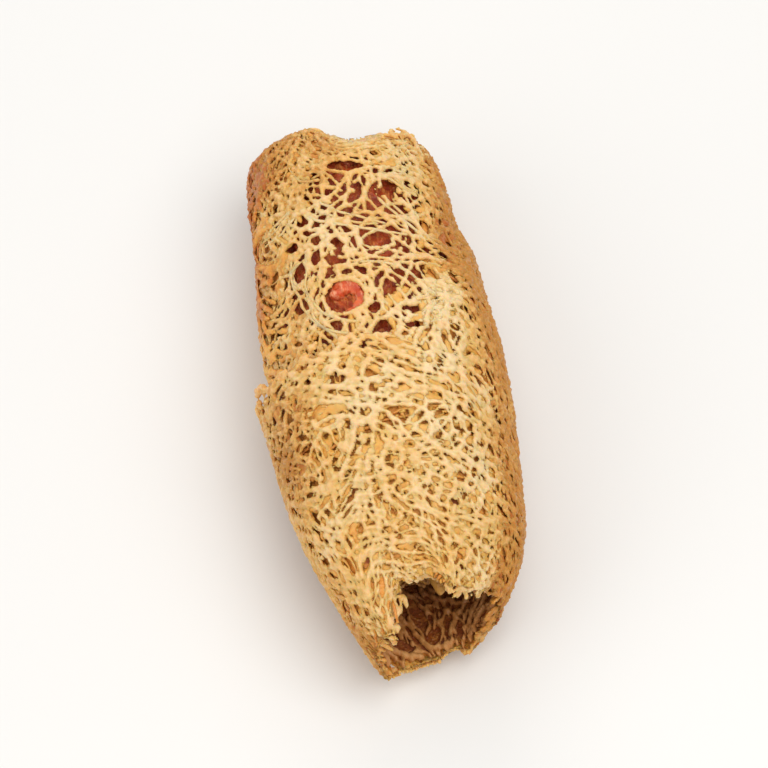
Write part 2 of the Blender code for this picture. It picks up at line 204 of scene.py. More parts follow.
@dataclass(frozen=True)
class RollForm:
    """The shape of the roll, with the same sizes as its solids. Lengths in millimetres."""

    length: float = 77.3
    axis_height: float = 14.8
    flattening: float = 0.93
    axis_sag: float = 3.4
    axis_bend: float = 0.8
    fullest_at: float = 43.0
    half_span: float = 39.0
    turn_rise: float = 1.4
    turn_rise_on_left: float = 0.9
    turn_edge: Pair = (41.0, 20.0)
    turn_edge_softness: Pair = (4.0, 1.3)
    turn_fade: Pair = (53.0, 75.0)
    lap_angle: float = math.radians(128)
    lap_step: float = 0.8
    bulge_height: float = 0.22
    bulge_waves: tuple[Triple, ...] = ((2, 6.3, 0), (3, -4.4, 1), (5, 9.5, 0))
    tear: Triple = (math.radians(-20), 4.4, math.radians(23))
    mouth_slant: Pair = (math.radians(75), 2.5)
    mouth_squeeze: float = 1.6
    mouth_ragged: float = 0.45
    mouth_waves: tuple[Triple, ...] = ((4, 1.0, 1.0), (9, 0.8, 0.0), (13, 0.6, 2.0))
    mouth_reach: float = 20.0
    rim_dip: Triple = (math.radians(12), 2.4, math.radians(20))
    rim_reach: float = 8.0
    rim_slant: Triple = (0.9, 2.7, 14.0)
    rim_low: tuple[float, ...] = tuple(math.radians(a) for a in (-28, 6, 70, 125))
    far_bend: float = 0.6
    centring: Pair = (-0.119, 1.777)
    groove_angles: Pair = (math.radians(-60), math.radians(560))
    groove_radii: Pair = (9.3, 2.2)
    groove_depth: float = 3.2
    groove_width: float = 0.62
    groove_ends: float = 0.06
    pressed_height: float = 0.7
    outline: tuple[Pair, ...] = (
        (0.0, 1.4), (4.4, 0.9), (8.6, 0.3), (11.2, 1.0), (12.6, 3.8), (13.3, 9.0),
        (13.6, 15.2), (13.9, 22.2), (14.3, 29.2), (14.8, 38.0), (14.6, 47.5),
        (13.8, 57.0), (13.5, 64.8), (12.8, 70.4), (11.6, 74.6), (10.1, 76.8), (9.2, 77.3),
    )
    inner_outline: tuple[Pair, ...] = (
        (8.7, 76.6), (9.9, 74.0), (11.1, 69.6), (11.8, 65.0), (12.0, 61.0), (12.2, 58.0),
    )

    def outer_radius(self, along: Array) -> Array:
        """Radius of the turned outer form, read from straight runs between the outline's points."""
        points = np.array(self.outline[3:-1])
        return np.interp(along, points[:, 1], points[:, 0])

    def free_edge(self, angle: Array) -> tuple[Array, Array, Array]:
        """The last turn's far edge.

        Args:
            angle: Turn from the top towards +X.

        Returns:
            The share of the left flank, the edge's distance along and half the length of its step.
            The edge runs back by the square of the sine on the right.
        """
        left = (0.5 - 0.5 * np.sin(angle)) ** 2
        right = np.maximum(0.0, np.sin(angle)) ** 2
        edge = self.turn_edge[0] - self.turn_edge[1] * right
        return left, edge, between(self.turn_edge_softness, left)

    def outer_turn(self, angle: Array, along: Array, turn: Turn = Turn.WHOLE) -> Array:
        """Height of the sheet's last turn.

        Args:
            angle: Turn from the top towards +X.
            along: Distance from the folded end.
            turn: Whether the last turn keeps its height up to its edge, or isn't there.

        Returns:
            A smooth step over the free edge, crisp on the left flank, that fades towards the mouth.
        """
        left, edge, half = self.free_edge(angle)
        rise = self.turn_rise + self.turn_rise_on_left * left
        fade = 1 - smoothstep(*self.turn_fade, along)
        if turn is Turn.LAST:
            along = along + left * np.maximum(0.0, edge + half - along)
        if turn is Turn.INNER:
            along = along - left * np.maximum(0.0, along - edge + half)
        return rise * smoothstep(edge - half, edge + half, along) * fade

    def lap(self, angle: Array) -> Array:
        """Height of the spiral, which grows evenly with the angle from the sheet's free edge."""
        return self.lap_step * ((angle - self.lap_angle) % TURN) / TURN

    def bulge(self, angle: Array, along: Array) -> Array:
        """Slow unevenness: waves of a count, a length and a phase that run aslant round the roll."""
        waves = (np.sin(count * angle + along / length + phase) for count, length, phase in self.bulge_waves)
        return self.bulge_height * sum(waves)

    def mouth_shift(self, angle: Array) -> Array:
        """How far the lip is torn back.

        Args:
            angle: Turn from the top towards +X.

        Returns:
            A squarish bump, a slant by a cosine and small waves, added up.
        """
        ragged = sum(height * np.sin(count * angle + phase) for count, height, phase in self.mouth_waves)
        torn = self.tear[1] * bump(angle, self.tear[0], self.tear[2], 4)
        slant = self.mouth_slant[1] * np.cos(angle - self.mouth_slant[0])
        return torn + self.mouth_ragged * ragged + slant

    def coil_depth(self, radius: Array, angle: Array) -> Array:
        """How deep the folded end is grooved between the sheet's inner turns.

        Args:
            radius: Distance from the roll's own axis.
            angle: Turn from the top towards +X.

        Returns:
            The depth times e to minus the fourth power of the distance, in groove widths, from the
            nearest turn of a spiral whose radius shrinks evenly with its angle.
        """
        first, last = self.groove_angles
        outer, inner = self.groove_radii
        depth = np.zeros(np.broadcast(radius, angle).shape)
        for lap in (-1, 0, 1):
            whole = angle % TURN + lap * TURN
            share = (whole - first) / (last - first)
            off = (radius - outer - (inner - outer) * share) / self.groove_width
            ends = smoothstep(0.0, self.groove_ends, share) * smoothstep(0.0, self.groove_ends, 1 - share)
            depth = np.maximum(depth, self.groove_depth * np.exp(-(off**4)) * ends)
        return depth

    def place(
        self, radius: Array, angle: Array, along: Array, lap: Array | float | None = None,
        turn: Turn = Turn.WHOLE,
    ) -> Array:
        """Places of the turned form, once the roll has bulged, sagged and torn.

        Args:
            radius: Distance from the roll's own axis before it bulges.
            angle: Turn from the top towards +X.
            along: Distance from the folded end.
            lap: Height of the spiral, where it isn't that of the angle alone.
            turn: Which turn of the sheet the place lies on.

        Returns:
            Points in millimetres, the last axis x, y and z. The radius grows by the last turn, the
            lap and the bulges, times the cube of its share of the outer radius. The place along
            the roll shifts with the torn lip and with the dipped and slanted rim. The axis sags,
            and bends aside near both ends, by the square of the distance from the fullest place.
        """
        outward = np.minimum(1.0, radius / self.outer_radius(along))
        share = outward**3
        lap = self.lap(angle) if lap is None else lap
        grown = radius + share * (self.outer_turn(angle, along, turn) + lap + self.bulge(angle, along))
        near = np.maximum(0.0, (along - (self.length - self.mouth_reach)) / self.mouth_reach) ** 1.5
        grown = grown - near * share * self.mouth_squeeze * np.sin(angle) ** 2
        far = np.maximum(0.0, 1 - along / self.rim_reach) * share
        dip = self.rim_dip[1] * bump(angle, self.rim_dip[0], self.rim_dip[2])
        low, lower, reach = self.rim_slant
        turned = angle_from(angle, 0.0)
        side = smoothstep(*self.rim_low[:2], turned) * (1 - smoothstep(*self.rim_low[2:], turned))
        slant = (low * np.maximum(0.0, np.cos(angle)) + lower * side) * np.maximum(0.0, 1 - along / reach)
        placed = along - near * self.mouth_shift(angle) + far * dip + slant * outward
        from_middle = (along - self.fullest_at) / self.half_span
        sag = self.axis_sag * from_middle**2
        bend = self.axis_bend * np.maximum(0.0, from_middle) ** 2
        bend = bend + self.far_bend * np.maximum(0.0, -from_middle) ** 2
        x = grown * np.sin(angle) + bend + self.centring[0]
        y = self.length / 2 - placed + self.centring[1]
        z = self.axis_height - sag + grown * np.cos(angle) * self.flattening
        return np.stack([x, y, z], axis=-1)

    def rested(self, points: Array) -> Array:
        """Points with the lowest pressed softly onto the floor.

        Args:
            points: Places in millimetres.

        Returns:
            The places with each height below the pressed height replaced by that height times e to
            the share by which it falls short, so that none lies below the floor.
        """
        low = self.pressed_height
        height = points[..., 2]
        pressed = low * np.exp(np.minimum(0.0, height - low) / low)
        return np.concatenate([points[..., :2], np.where(height < low, pressed, height)[..., None]], axis=-1)


def add_mesh(name: str, points: Array, faces: Array, fields: dict[str, Array] | None = None) -> Piece:
    """Makes an object of triangles or quads.

    Args:
        name: The piece's name.
        points: Places in millimetres, one row each.
        faces: Rows of three or four point numbers.
        fields: Values for each point, by the name that the materials read.

    Returns:
        The object, in the scene, smooth shaded and unturned at the origin.
    """
    used, index = np.unique(faces, return_inverse=True)
    faces = index.reshape(faces.shape)
    mesh = bpy.data.meshes.new(name)
    mesh.vertices.add(len(used))
    mesh.vertices.foreach_set("co", (points[used] * MM).astype(np.float32).ravel())
    mesh.loops.add(faces.size)
    mesh.loops.foreach_set("vertex_index", faces.astype(np.int32).ravel())
    mesh.polygons.add(len(faces))
    mesh.polygons.foreach_set("loop_start", np.arange(0, faces.size, faces.shape[1], dtype=np.int32))
    mesh.update(calc_edges=True)
    mesh.shade_smooth()
    for label, values in (fields or {}).items():
        layer = mesh.attributes.new(label, "FLOAT", "POINT")
        layer.data.foreach_set("value", values[used].astype(np.float32).ravel())
    made = bpy.data.objects.new(name, mesh)
    bpy.context.scene.collection.objects.link(made)
    return made


def grid_faces(rows: int, columns: int, wrap: bool = False) -> Array:
    """Quads between the points of a grid that is stored row by row.

    Args:
        rows: Number of rows.
        columns: Points in each row.
        wrap: Whether the last column joins the first.

    Returns:
        Rows of four point numbers.
    """
    row = np.arange(rows - 1)[:, None] * columns
    column = np.arange(columns if wrap else columns - 1)[None, :]
    after = (column + 1) % columns
    corners = [row + column, row + after, row + columns + after, row + columns + column]
    return np.stack(corners, axis=-1).reshape(-1, 4)


def split_quads(quads: Array) -> Array:
    """Each quad as two triangles, the first halves before the second ones."""
    return np.concatenate([quads[:, [0, 1, 2]], quads[:, [0, 2, 3]]])


def whole_triangles(faces: Array) -> Array:
    """The triangles whose corners are three different points."""
    return faces[(faces != np.roll(faces, 1, axis=1)).all(axis=1)]


def turned_faces(rows: int, columns: int, last: bool = True) -> Array:
    """Triangles of a turned surface that is closed at its poles.

    Args:
        rows: Rings from pole to pole.
        columns: Points in each ring.
        last: Whether the last ring is a pole too.

    Returns:
        Rows of three point numbers, in which a pole's ring counts as its first point.
    """
    quads = grid_faces(rows, columns, wrap=True)
    quads = np.where(quads < columns, 0, quads)
    if last:
        quads = np.where(quads >= (rows - 1) * columns, (rows - 1) * columns, quads)
    return whole_triangles(split_quads(quads))


@dataclass(frozen=True)
class Hole:
    """An opening between the strands, which bunch round it. Its angle and slant are in degrees."""

    angle: float
    along: float
    length: float
    width: float
    slant: float = 0.0


@dataclass
class Drizzle:
    """Batter strands laid on a flat sheet in arcs, in runs of a few side by side.

    Attributes:
        length: Side of the sheet along u, in millimetres.
        width: Side of the sheet along v.
        cover: Length of strand on each square millimetre, per millimetre.
        seed: Start of the random numbers.
        reach: Shortest and longest strand.
        bend: Smallest and largest radius of its arc.
        run: Strands side by side in a run.
        gap: Distance between the strands of a run.
        step: Distance between the points of a strand.
        wobble: Sideways waviness of a strand.
        wobble_lengths: Lengths of its long and its short waves, over a turn.
        cell: Size of the net's small holes, towards whose edges the strands are drawn.
        draw: How far they are drawn.
        holes: Middle, half length, half width and slant of the larger holes.
        extra: Share of runs laid past the cover, for what falls beside the sheet.
        margin: How far past the sheet the runs' middles reach, as a share of the mean strand.
        shaken: How far the runs' middles are moved from even places, as a share of the sheet.
        turned: Spread of the headings in a run.
        strayed: Spread of the strands' distances in a run.
        bent: Smallest and largest share of the run's curve that a strand takes.
        opened: Smallest and largest share of the gap that a run takes.
        shortened: Smallest and largest share of the run's length that a strand takes.
    """

    length: float
    width: float
    cover: float
    seed: int
    reach: Pair = (14.0, 46.0)
    bend: Pair = (9.0, 50.0)
    run: int = 3
    gap: float = 0.95
    step: float = 0.9
    wobble: float = 0.07
    wobble_lengths: Pair = (2.1, 0.9)
    cell: float = 1.7
    draw: float = 0.17
    holes: tuple[tuple[float, ...], ...] = ()
    extra: float = 1.15
    margin: float = 0.25
    shaken: float = 0.02
    turned: float = 0.09
    strayed: float = 0.3
    bent: Pair = (0.7, 1.3)
    opened: Pair = (0.7, 1.6)
    shortened: Pair = (0.7, 1.0)

    def paths(self) -> tuple[Array, Array, Array, Array]:
        """Lays the strands.

        Returns:
            u and v of the strands' points, one row for each strand, whether each point lies before
            its strand's end, and a random number from 0 to 1 for each strand. The runs' middles
            step evenly over the sheet by two irrational shares of it. A strand's heading turns
            evenly with the way along it, and its points are the running sums of the steps' cosines
            and sines.
        """
        chance = np.random.default_rng(self.seed)
        mean = sum(self.reach) / 2
        runs = max(1, round(self.cover * self.length * self.width / mean / self.run * self.extra))
        strands = runs * self.run
        points = round(self.reach[1] / self.step) + 1
        order = np.repeat(np.arange(runs), self.run)
        place = np.arange(strands) % self.run - (self.run - 1) / 2
        margin = self.margin * mean
        even = np.arange(runs)[:, None] * EVEN_STEPS + chance.uniform(0, 1, 2)
        even = (even + chance.uniform(0, self.shaken, (runs, 2))) % 1
        u0 = (even[:, 0] * (self.length + 2 * margin) - margin)[order]
        v0 = (even[:, 1] * (self.width + 2 * margin) - margin)[order]
        heading = chance.uniform(0, TURN, runs)[order] + chance.normal(0, self.turned, strands)
        curve = (chance.choice([-1, 1], runs) / chance.uniform(*self.bend, runs))[order]
        curve = curve * chance.uniform(*self.bent, strands)
        aside = place * self.gap * chance.uniform(*self.opened, runs)[order]
        aside = aside + chance.normal(0, self.strayed, strands)
        reach = chance.uniform(*self.reach, runs)[order] * chance.uniform(*self.shortened, strands)
        way = np.arange(points) * self.step
        bearing = heading[:, None] + curve[:, None] * (way - mean / 2)[None, :]
        sway = chance.uniform(0, TURN, (strands, 2))
        long, short = self.wobble_lengths
        waves = np.sin(way / long + sway[:, :1]) + 0.5 * np.sin(way / short + sway[:, 1:])
        lag = aside[:, None] + self.wobble * waves
        middle = round(mean / 2 / self.step)
        run_u, run_v = (np.cumsum(wave, axis=1) * self.step for wave in (np.cos(bearing), np.sin(bearing)))
        u = u0[:, None] + run_u - run_u[:, middle : middle + 1] - lag * np.sin(bearing)
        v = v0[:, None] + run_v - run_v[:, middle : middle + 1] + lag * np.cos(bearing)
        u, v = self._drawn(u, v)
        return u, v, way <= reach[:, None], chance.uniform(0, 1, strands)

    def _drawn(self, u: Array, v: Array) -> tuple[Array, Array]:
        """Moves the points towards the valleys of a small noise and out of the holes.

        Args:
            u: The strands' points along the sheet's length.
            v: The strands' points along its width.

        Returns:
            The moved points. A hole moves a point outwards to the cube root of one more than the
            cube of its distance, in the hole's own half sizes.
        """
        for size, share in ((self.cell, 1.0), (self.cell * 2.1, 1.6)):
            across, along = Waves(size, self.seed + 7).slope(u, v)
            u, v = u - self.draw * share * across, v - self.draw * share * along
        for at_u, at_v, long, wide, slant in self.holes:
            x, y = u - at_u, v - at_v
            cosine, sine = math.cos(slant), math.sin(slant)
            p, q = (x * cosine + y * sine) / long, (y * cosine - x * sine) / wide
            away = np.sqrt(p**2 + q**2) + 1e-6
            push = (away**3 + 1) ** (1 / 3) / away
            p, q = p * push * long, q * push * wide
            u, v = at_u + p * cosine - q * sine, at_v + p * sine + q * cosine
        return u, v


def fine_drizzle(
    length: float, width: float, cover: float, seed: int, reach: Pair, bend: Pair, **sizes: float
) -> Drizzle:
    """Strands in fine steps, as a fused web needs them."""
    return Drizzle(length, width, cover, seed, reach, bend, step=FINE_STEP, **sizes)


@dataclass
class NetLayer:
    """What a layer of the net follows, whether it is single strands or a fused web.

    Attributes:
        name: The piece's name.
        drizzle: The strands on the flat sheet.
        mapping: Gives the places of u and v in space.
        keep: Share of the strands kept at places on the sheet, below 0 where there is no sheet.
        browning_and_painted_light: How brown the fried batter is at places on the sheet, from 0 to 1, with
            painted shade and a painted highlight added in places.
        rest: Presses finished places onto the floor.
        offset: Height of the layer's middle over the mapped sheet.
    """

    name: str
    drizzle: Drizzle
    mapping: Mapping
    keep: Mapping
    browning_and_painted_light: Mapping
    rest: Callable[[Array], Array]
    offset: float = 0.0

    def frames(self, u: Array, v: Array) -> tuple[Array, Array]:
        """Places and normals of the mapped sheet.

        Args:
            u: Places along the sheet's length.
            v: Places along its width.

        Returns:
            The places in millimetres, and the normals as the cross product of two small steps.
        """
        small = 0.05
        here = self.mapping(u, v)
        normal = unit(np.cross(self.mapping(u, v + small) - here, self.mapping(u + small, v) - here))
        return here, normal


@dataclass
class Strands(NetLayer):
    """Single strands that lie on the net.

    Attributes:
        half_width: Smallest and largest half width of a strand.
        flatness: Height of a strand over its width.
        sides: Sides of a strand's section.
        unevenness: How far single strands lie above or below the layer's middle.
        swells: Height, turn for each point and turn for the strand's number of its thicker places.
        taper: How fast a strand thins where the layer ends, and its least share there.
    """

    half_width: Pair = (0.13, 0.2)
    flatness: float = 0.8
    sides: int = 5
    unevenness: float = 0.1
    swells: tuple[Triple, ...] = ((0.14, 1.3, 9), (0.1, 0.37, 5))
    taper: Pair = (9, 0.4)

    def build(self) -> Piece:
        """Makes the layer's mesh.

        Returns:
            Closed tubes with flattened sections. Each ring is the strand's middle plus the half
            width times a cosine along the sheet and the half height times a sine along its
            normal, and the rings shrink to a point where a strand ends.
        """
        u, v, laid, lot = self.drizzle.paths()
        chance = np.random.default_rng(self.drizzle.seed + 100)
        strength = self.keep(u, v) - lot[:, None]
        kept = laid & (strength > 0)
        kept[:, 0] = False
        kept[:, -1] = False
        middle, normal = self.frames(u, v)
        points = np.arange(u.shape[1])[None, :]
        lift = self.unevenness * (2 * chance.uniform(0, 1, (u.shape[0], 1)) - 1)
        lift = lift + 0.7 * self.unevenness * np.sin(points * self.drizzle.step * 0.9 + 9 * lot[:, None])
        middle = middle + normal * (self.offset + lift)[..., None]
        ahead = unit(np.gradient(middle, axis=1))
        side = unit(np.cross(normal, ahead))
        thick = chance.uniform(*self.half_width, (u.shape[0], 1))
        swell = (height * np.sin(points * turn + own * lot[:, None]) for height, turn, own in self.swells)
        thick = thick * sum(swell, start=1.0)
        ends, least = self.taper
        thick = np.where(kept, thick * np.clip(strength * ends, least, 1.0), 0.0)[..., None, None]
        around = (np.arange(self.sides) / self.sides * TURN)[None, None, :, None]
        rings = middle[:, :, None, :] + thick * np.cos(around) * side[:, :, None, :]
        rings = self.rest(rings + thick * self.flatness * np.sin(around) * normal[:, :, None, :])
        tone = np.repeat(np.broadcast_to(lot[:, None], u.shape).ravel(), self.sides)
        brown = np.repeat(self.browning_and_painted_light(u, v).ravel(), self.sides)
        fields = {"tone": tone, "browning_and_painted_light": brown}
        return add_mesh(self.name, rings.reshape(-1, 3), self._faces(kept), fields)

    def _faces(self, kept: Array) -> Array:
        """Triangles between neighbouring rings, with the rings that shrank to a point made one."""
        strands, points = kept.shape
        ring = np.arange(strands * points).reshape(strands, points)
        span = kept[:, :-1] | kept[:, 1:]
        first, second = ring[:, :-1][span][:, None], ring[:, 1:][span][:, None]
        here = np.arange(self.sides)[None, :]
        after = (here + 1) % self.sides
        open_ring = kept.ravel()

        def corner(rings: Array, side: Array) -> Array:
            """Point numbers of a side of the rings, or of their only point."""
            return rings * self.sides + np.where(open_ring[rings], side, 0)

        corners = (first, here), (first, after), (second, after), (second, here)
        quads = np.stack([corner(rings, side) for rings, side in corners], axis=-1)
        return whole_triangles(split_quads(quads.reshape(-1, 4)))


@dataclass
class Web(NetLayer):
    """Strands that ran together into one lacy sheet with rounded holes.

    Attributes:
        pitch: Distance between the points of the grid that the sheet is made on.
        core: Width of the soft ridge that each strand adds to the grid.
        level: Ridge height at which the batter ends.
        height: Half thickness of the sheet on a ridge.
        island: Half side, in grid points, of the block in which a third has to be covered.
        growth: How many grid points the batter reaches from such a block.
        open_share: Share of the ridges' own mean, nearby, at which the batter ends in a crowd.
        least_level: Least share of the level at which the batter ends where strands are few.
        thinning: How fast a strand's ridge sinks where the layer ends.
        strengths: Least ridge of a strand, and how much higher the highest is.
        margins: How far the grid reaches past the sheet's start and end, along u and along v.
        grain: Height and length of the small unevenness of the upper side.
    """

    pitch: float = 0.28
    core: float = 0.165
    level: float = 0.62
    height: float = 0.2
    island: int = 7
    growth: int = 26
    open_share: float = 0.58
    least_level: float = 0.7
    thinning: float = 14
    strengths: Pair = (0.78, 0.5)
    margins: tuple[Pair, Pair] = ((3.0, 4.0), (1.0, 1.0))
    grain: Pair = (0.05, 1.1)

    def ridges(self) -> tuple[Array, Array, Array]:
        """The grid's u and v, and the ridges on it.

        Returns:
            u and v of the grid's rows and columns, and the sum over the strands' points of e to
            minus half the squared distance in core widths, scaled to about 1.7 on a lone strand.
        """
        u, v, laid, lot = self.drizzle.paths()
        weight = np.clip((self.keep(u, v) - lot[:, None]) * self.thinning, 0.0, 1.0) * laid
        least, more = self.strengths
        weight = weight * (least + more * ((lot * 7) % 1))[:, None] * self.drizzle.step / FINE_STEP
        low_u, low_v = (-before for before, _ in self.margins)
        rows = round((self.drizzle.length + sum(self.margins[0])) / self.pitch)
        columns = round((self.drizzle.width + sum(self.margins[1])) / self.pitch)
        x, y = (u - low_u) / self.pitch, (v - low_v) / self.pitch
        total = np.zeros(rows * columns)
        reach = range(-2, 4)
        for i, j in ((i, j) for i in reach for j in reach):
            row, column = np.floor(x).astype(int) + i, np.floor(y).astype(int) + j
            inside = (row >= 0) & (row < rows) & (column >= 0) & (column < columns) & (weight > 0)
            far = ((x - row) ** 2 + (y - column) ** 2)[inside] * self.pitch**2
            add = weight[inside] * np.exp(-far / (2 * self.core**2))
            total += np.bincount((row * columns + column)[inside], add, minlength=rows * columns)
        total = total.reshape(rows, columns)
        crowd = self._block_sum(total, self.island) / (2 * self.island) ** 2
        total = total / np.maximum(self.least_level, crowd * self.open_share / self.level)
        return low_u + np.arange(rows) * self.pitch, low_v + np.arange(columns) * self.pitch, total

    @staticmethod
    def _block_sum(values: Array, half: int) -> Array:
        """Sums over the square block round each point, as differences of running sums.

        Args:
            values: A grid of numbers.
            half: Half the block's side.

        Returns:
            A grid of the same size.
        """
        padded = np.pad(values, ((half + 1, half), (half + 1, half)), mode="edge")
        filled = padded.cumsum(axis=0).cumsum(axis=1)
        wide = 2 * half
        sums = filled[wide:, wide:] - filled[:-wide, wide:] - filled[wide:, :-wide] + filled[:-wide, :-wide]
        return sums[: values.shape[0], : values.shape[1]]

    def build(self) -> Piece:
        """Makes the layer's mesh.

        Returns:
            A closed sheet where the ridges pass the level: its upper side stands off the mapped
            sheet by the height times the mean of the ridge's height over the level and its root,
            its lower side mirrors that, and both meet where the ridge falls to the level.
        """
        across, along, ridge = self.ridges()
        ridge[[0, -1], :] = 0.0
        ridge[:, [0, -1]] = 0.0
        ridge = np.where(self._joined(ridge > self.level), ridge, np.minimum(ridge, self.level * 0.9))
        u, v = (grid.ravel() for grid in np.meshgrid(across, along, indexing="ij"))
        ridge_flat = ridge.ravel()
        faces, first, second = self._outlined(ridge_flat, *ridge.shape)
        share = (self.level - ridge_flat[first]) / (ridge_flat[second] - ridge_flat[first])
        u = np.concatenate([u, u[first] + (u[second] - u[first]) * share])
        v = np.concatenate([v, v[first] + (v[second] - v[first]) * share])
        over = np.concatenate([np.maximum(ridge_flat - self.level, 0.0), np.zeros(len(first))])
        middle, normal = self.frames(u, v)
        thick = self.height * (0.5 * np.sqrt(np.minimum(over, 1.0)) + 0.5 * np.minimum(over, 2.4))
        size, length = self.grain
        grain = size * Waves(length, self.drizzle.seed + 3).height(u, v) * np.minimum(over * 3, 1.0)
        top = self.rest(middle + normal * (self.offset + thick + grain)[:, None])
        below = self.rest(middle + normal * (self.offset - thick)[:, None])
        count = len(ridge_flat)
        under = faces[:, ::-1]
        under = np.where(under < count, under + len(u), under)
        tone = np.clip(0.95 - 0.6 * over, 0.0, 1.0)
        brown = self.browning_and_painted_light(u, v)
        fields = {"tone": np.concatenate([tone, tone]), "browning_and_painted_light": np.concatenate([brown, brown])}
        return add_mesh(self.name, np.vstack([top, below]), np.vstack([faces, under]), fields)

    def _joined(self, batter: Array) -> Array:
        """Where the batter hangs together.

        Args:
            batter: Whether each point of the grid is covered.

        Returns:
            The places reached from well filled ones by growing over covered neighbours in turn, so
            that small islands drop out.
        """
        reached = batter & (self._block_sum(batter.astype(float), self.island) > 1.3 * self.island**2)
        rows, columns = batter.shape
        for _ in range(self.growth):
            grown = np.pad(reached, 1)
            near = [grown[i : i + rows, j : j + columns] for i in range(3) for j in range(3)]
            reached = np.logical_or.reduce(near) & batter
        return reached

    def _outlined(self, ridge: Array, rows: int, columns: int) -> tuple[Array, Array, Array]:
        """Triangles of the grid inside the level, cut along it.

        Args:
            ridge: The ridge at each point of the grid.
            rows: Rows of the grid.
            columns: Columns of the grid.

        Returns:
            The triangles, and the two grid points between which each further point lies. A
            triangle with one corner inside keeps that corner and the level's two crossings, and
            one with two corners inside keeps them and the crossings as two triangles.
        """
        triangles = split_quads(grid_faces(rows, columns))
        inside = ridge > self.level
        count = inside[triangles].sum(axis=1)

        def turned(chosen: Array, first: Array) -> Array:
            """The triangles with their odd corner first."""
            return chosen[np.arange(len(chosen))[:, None], (first[:, None] + np.arange(3)) % 3]

        one = triangles[count == 1]
        one = turned(one, inside[one].argmax(axis=1))
        two = triangles[count == 2]
        two = turned(two, (~inside[two]).argmax(axis=1))
        pairs = np.concatenate([one[:, [0, 1]], one[:, [0, 2]], two[:, [0, 1]], two[:, [0, 2]]])
        pairs = np.sort(pairs, axis=1)
        keys, index = np.unique(pairs[:, 0] * (rows * columns) + pairs[:, 1], return_inverse=True)
        a, b, c, d = np.split(index + rows * columns, np.cumsum([len(one), len(one), len(two)]))
        faces = np.concatenate([
            triangles[count == 3],
            np.stack([one[:, 0], a, b], axis=-1),
            np.stack([c, two[:, 1], two[:, 2]], axis=-1),
            np.stack([c, two[:, 2], d], axis=-1),
        ])
        return faces, keys // (rows * columns), keys % (rows * columns)


class Socket(Enum):
    """Kinds of sockets on the shared shader groups."""

    VALUE = "NodeSocketFloat"
    COLOUR = "NodeSocketColor"
    VECTOR = "NodeSocketVector"


@dataclass
class Graph:
    """A short way to wire nodes in a material or a group."""

    tree: Tree

    def feed(self, node: Node, links: dict[int | str, object]) -> None:
        """Feeds a node's inputs from sockets, or sets the values that they hold."""
        for key, value in links.items():
            socket = node.inputs[key]
            if isinstance(value, Output):
                self.tree.links.new(value, socket)
            else:
                socket.default_value = value

    def add(self, kind: str, links: dict[int | str, object] | None = None, **settings: object) -> Node:
        """Adds a node.

        Args:
            kind: The node's type.
            links: For each input, a socket that feeds it or a value that it holds.
            **settings: The node's own options.

        Returns:
            The node.
        """
        node = self.tree.nodes.new(kind)
        for name, value in settings.items():
            setattr(node, name, value)
        self.feed(node, links or {})
        return node

    def plus(self, first: object, second: object, clamp: bool = False) -> Output:
        """The sum of two sockets or numbers."""
        return self.add("ShaderNodeMath", {0: first, 1: second}, operation="ADD", use_clamp=clamp).outputs[0]

    def times(self, first: object, second: object) -> Output:
        """The product of two sockets or numbers."""
        return self.add("ShaderNodeMath", {0: first, 1: second}, operation="MULTIPLY").outputs[0]

    def mix(self, share: object, first: object, second: object) -> Output:
        """The result of a colour Mix node."""
        return self.add("ShaderNodeMix", {0: share, 6: first, 7: second}, data_type="RGBA").outputs[2]

    def noise(self, place: object, scale: float, detail: float = 3.0, rough: float = 0.55) -> Output:
        """The value of a Noise Texture, in waves for each millimetre."""
        links = {"Vector": place, "Scale": scale, "Detail": detail, "Roughness": rough}
        return self.add("ShaderNodeTexNoise", links).outputs["Fac"]

    def spread(self, value: object, low: float, high: float, to: Pair = (0.0, 1.0)) -> Output:
        """A value's range from low to high, stretched smoothly over another."""
        links = {0: value, 1: low, 2: high, 3: to[0], 4: to[1]}
        return self.add("ShaderNodeMapRange", links, interpolation_type="SMOOTHSTEP").outputs[0]

    def millimetres(self) -> Output:
        """Object coordinates in millimetres."""
        place = self.add("ShaderNodeTexCoord").outputs["Object"]
        return self.add("ShaderNodeVectorMath", {0: place, 3: 1 / MM}, operation="SCALE").outputs[0]

    def relief(self, height: object, distance: float) -> Output:
        """The normal of a Bump node over a height whose full range is a distance in millimetres."""
        links = {"Height": height, "Strength": BUMP_STRENGTH, "Distance": distance * MM}
        return self.add("ShaderNodeBump", links).outputs["Normal"]


def new_material(name: str) -> tuple[Material, Graph, Node]:
    """Starts a material: itself, its wiring helper and its shader node."""
    made = bpy.data.materials.new(name)
    made.use_nodes = True
    return made, Graph(made.node_tree), made.node_tree.nodes["Principled BSDF"]


def new_group(
    name: str, inputs: dict[str, tuple[Socket, object]], outputs: dict[str, Socket]
) -> tuple[Tree, Graph, Node, Node]:
    """Starts a shared node group.

    Args:
        name: The group's name.
        inputs: For each input, its kind and its first value.
        outputs: For each output, its kind.

    Returns:
        The tree, its wiring helper, its input node and its output node.
    """
    tree = bpy.data.node_groups.new(name, "ShaderNodeTree")
    for label, (kind, value) in inputs.items():
        tree.interface.new_socket(label, in_out="INPUT", socket_type=kind.value).default_value = value
    for label, kind in outputs.items():
        tree.interface.new_socket(label, in_out="OUTPUT", socket_type=kind.value)
    graph = Graph(tree)
    return tree, graph, graph.add("NodeGroupInput"), graph.add("NodeGroupOutput")


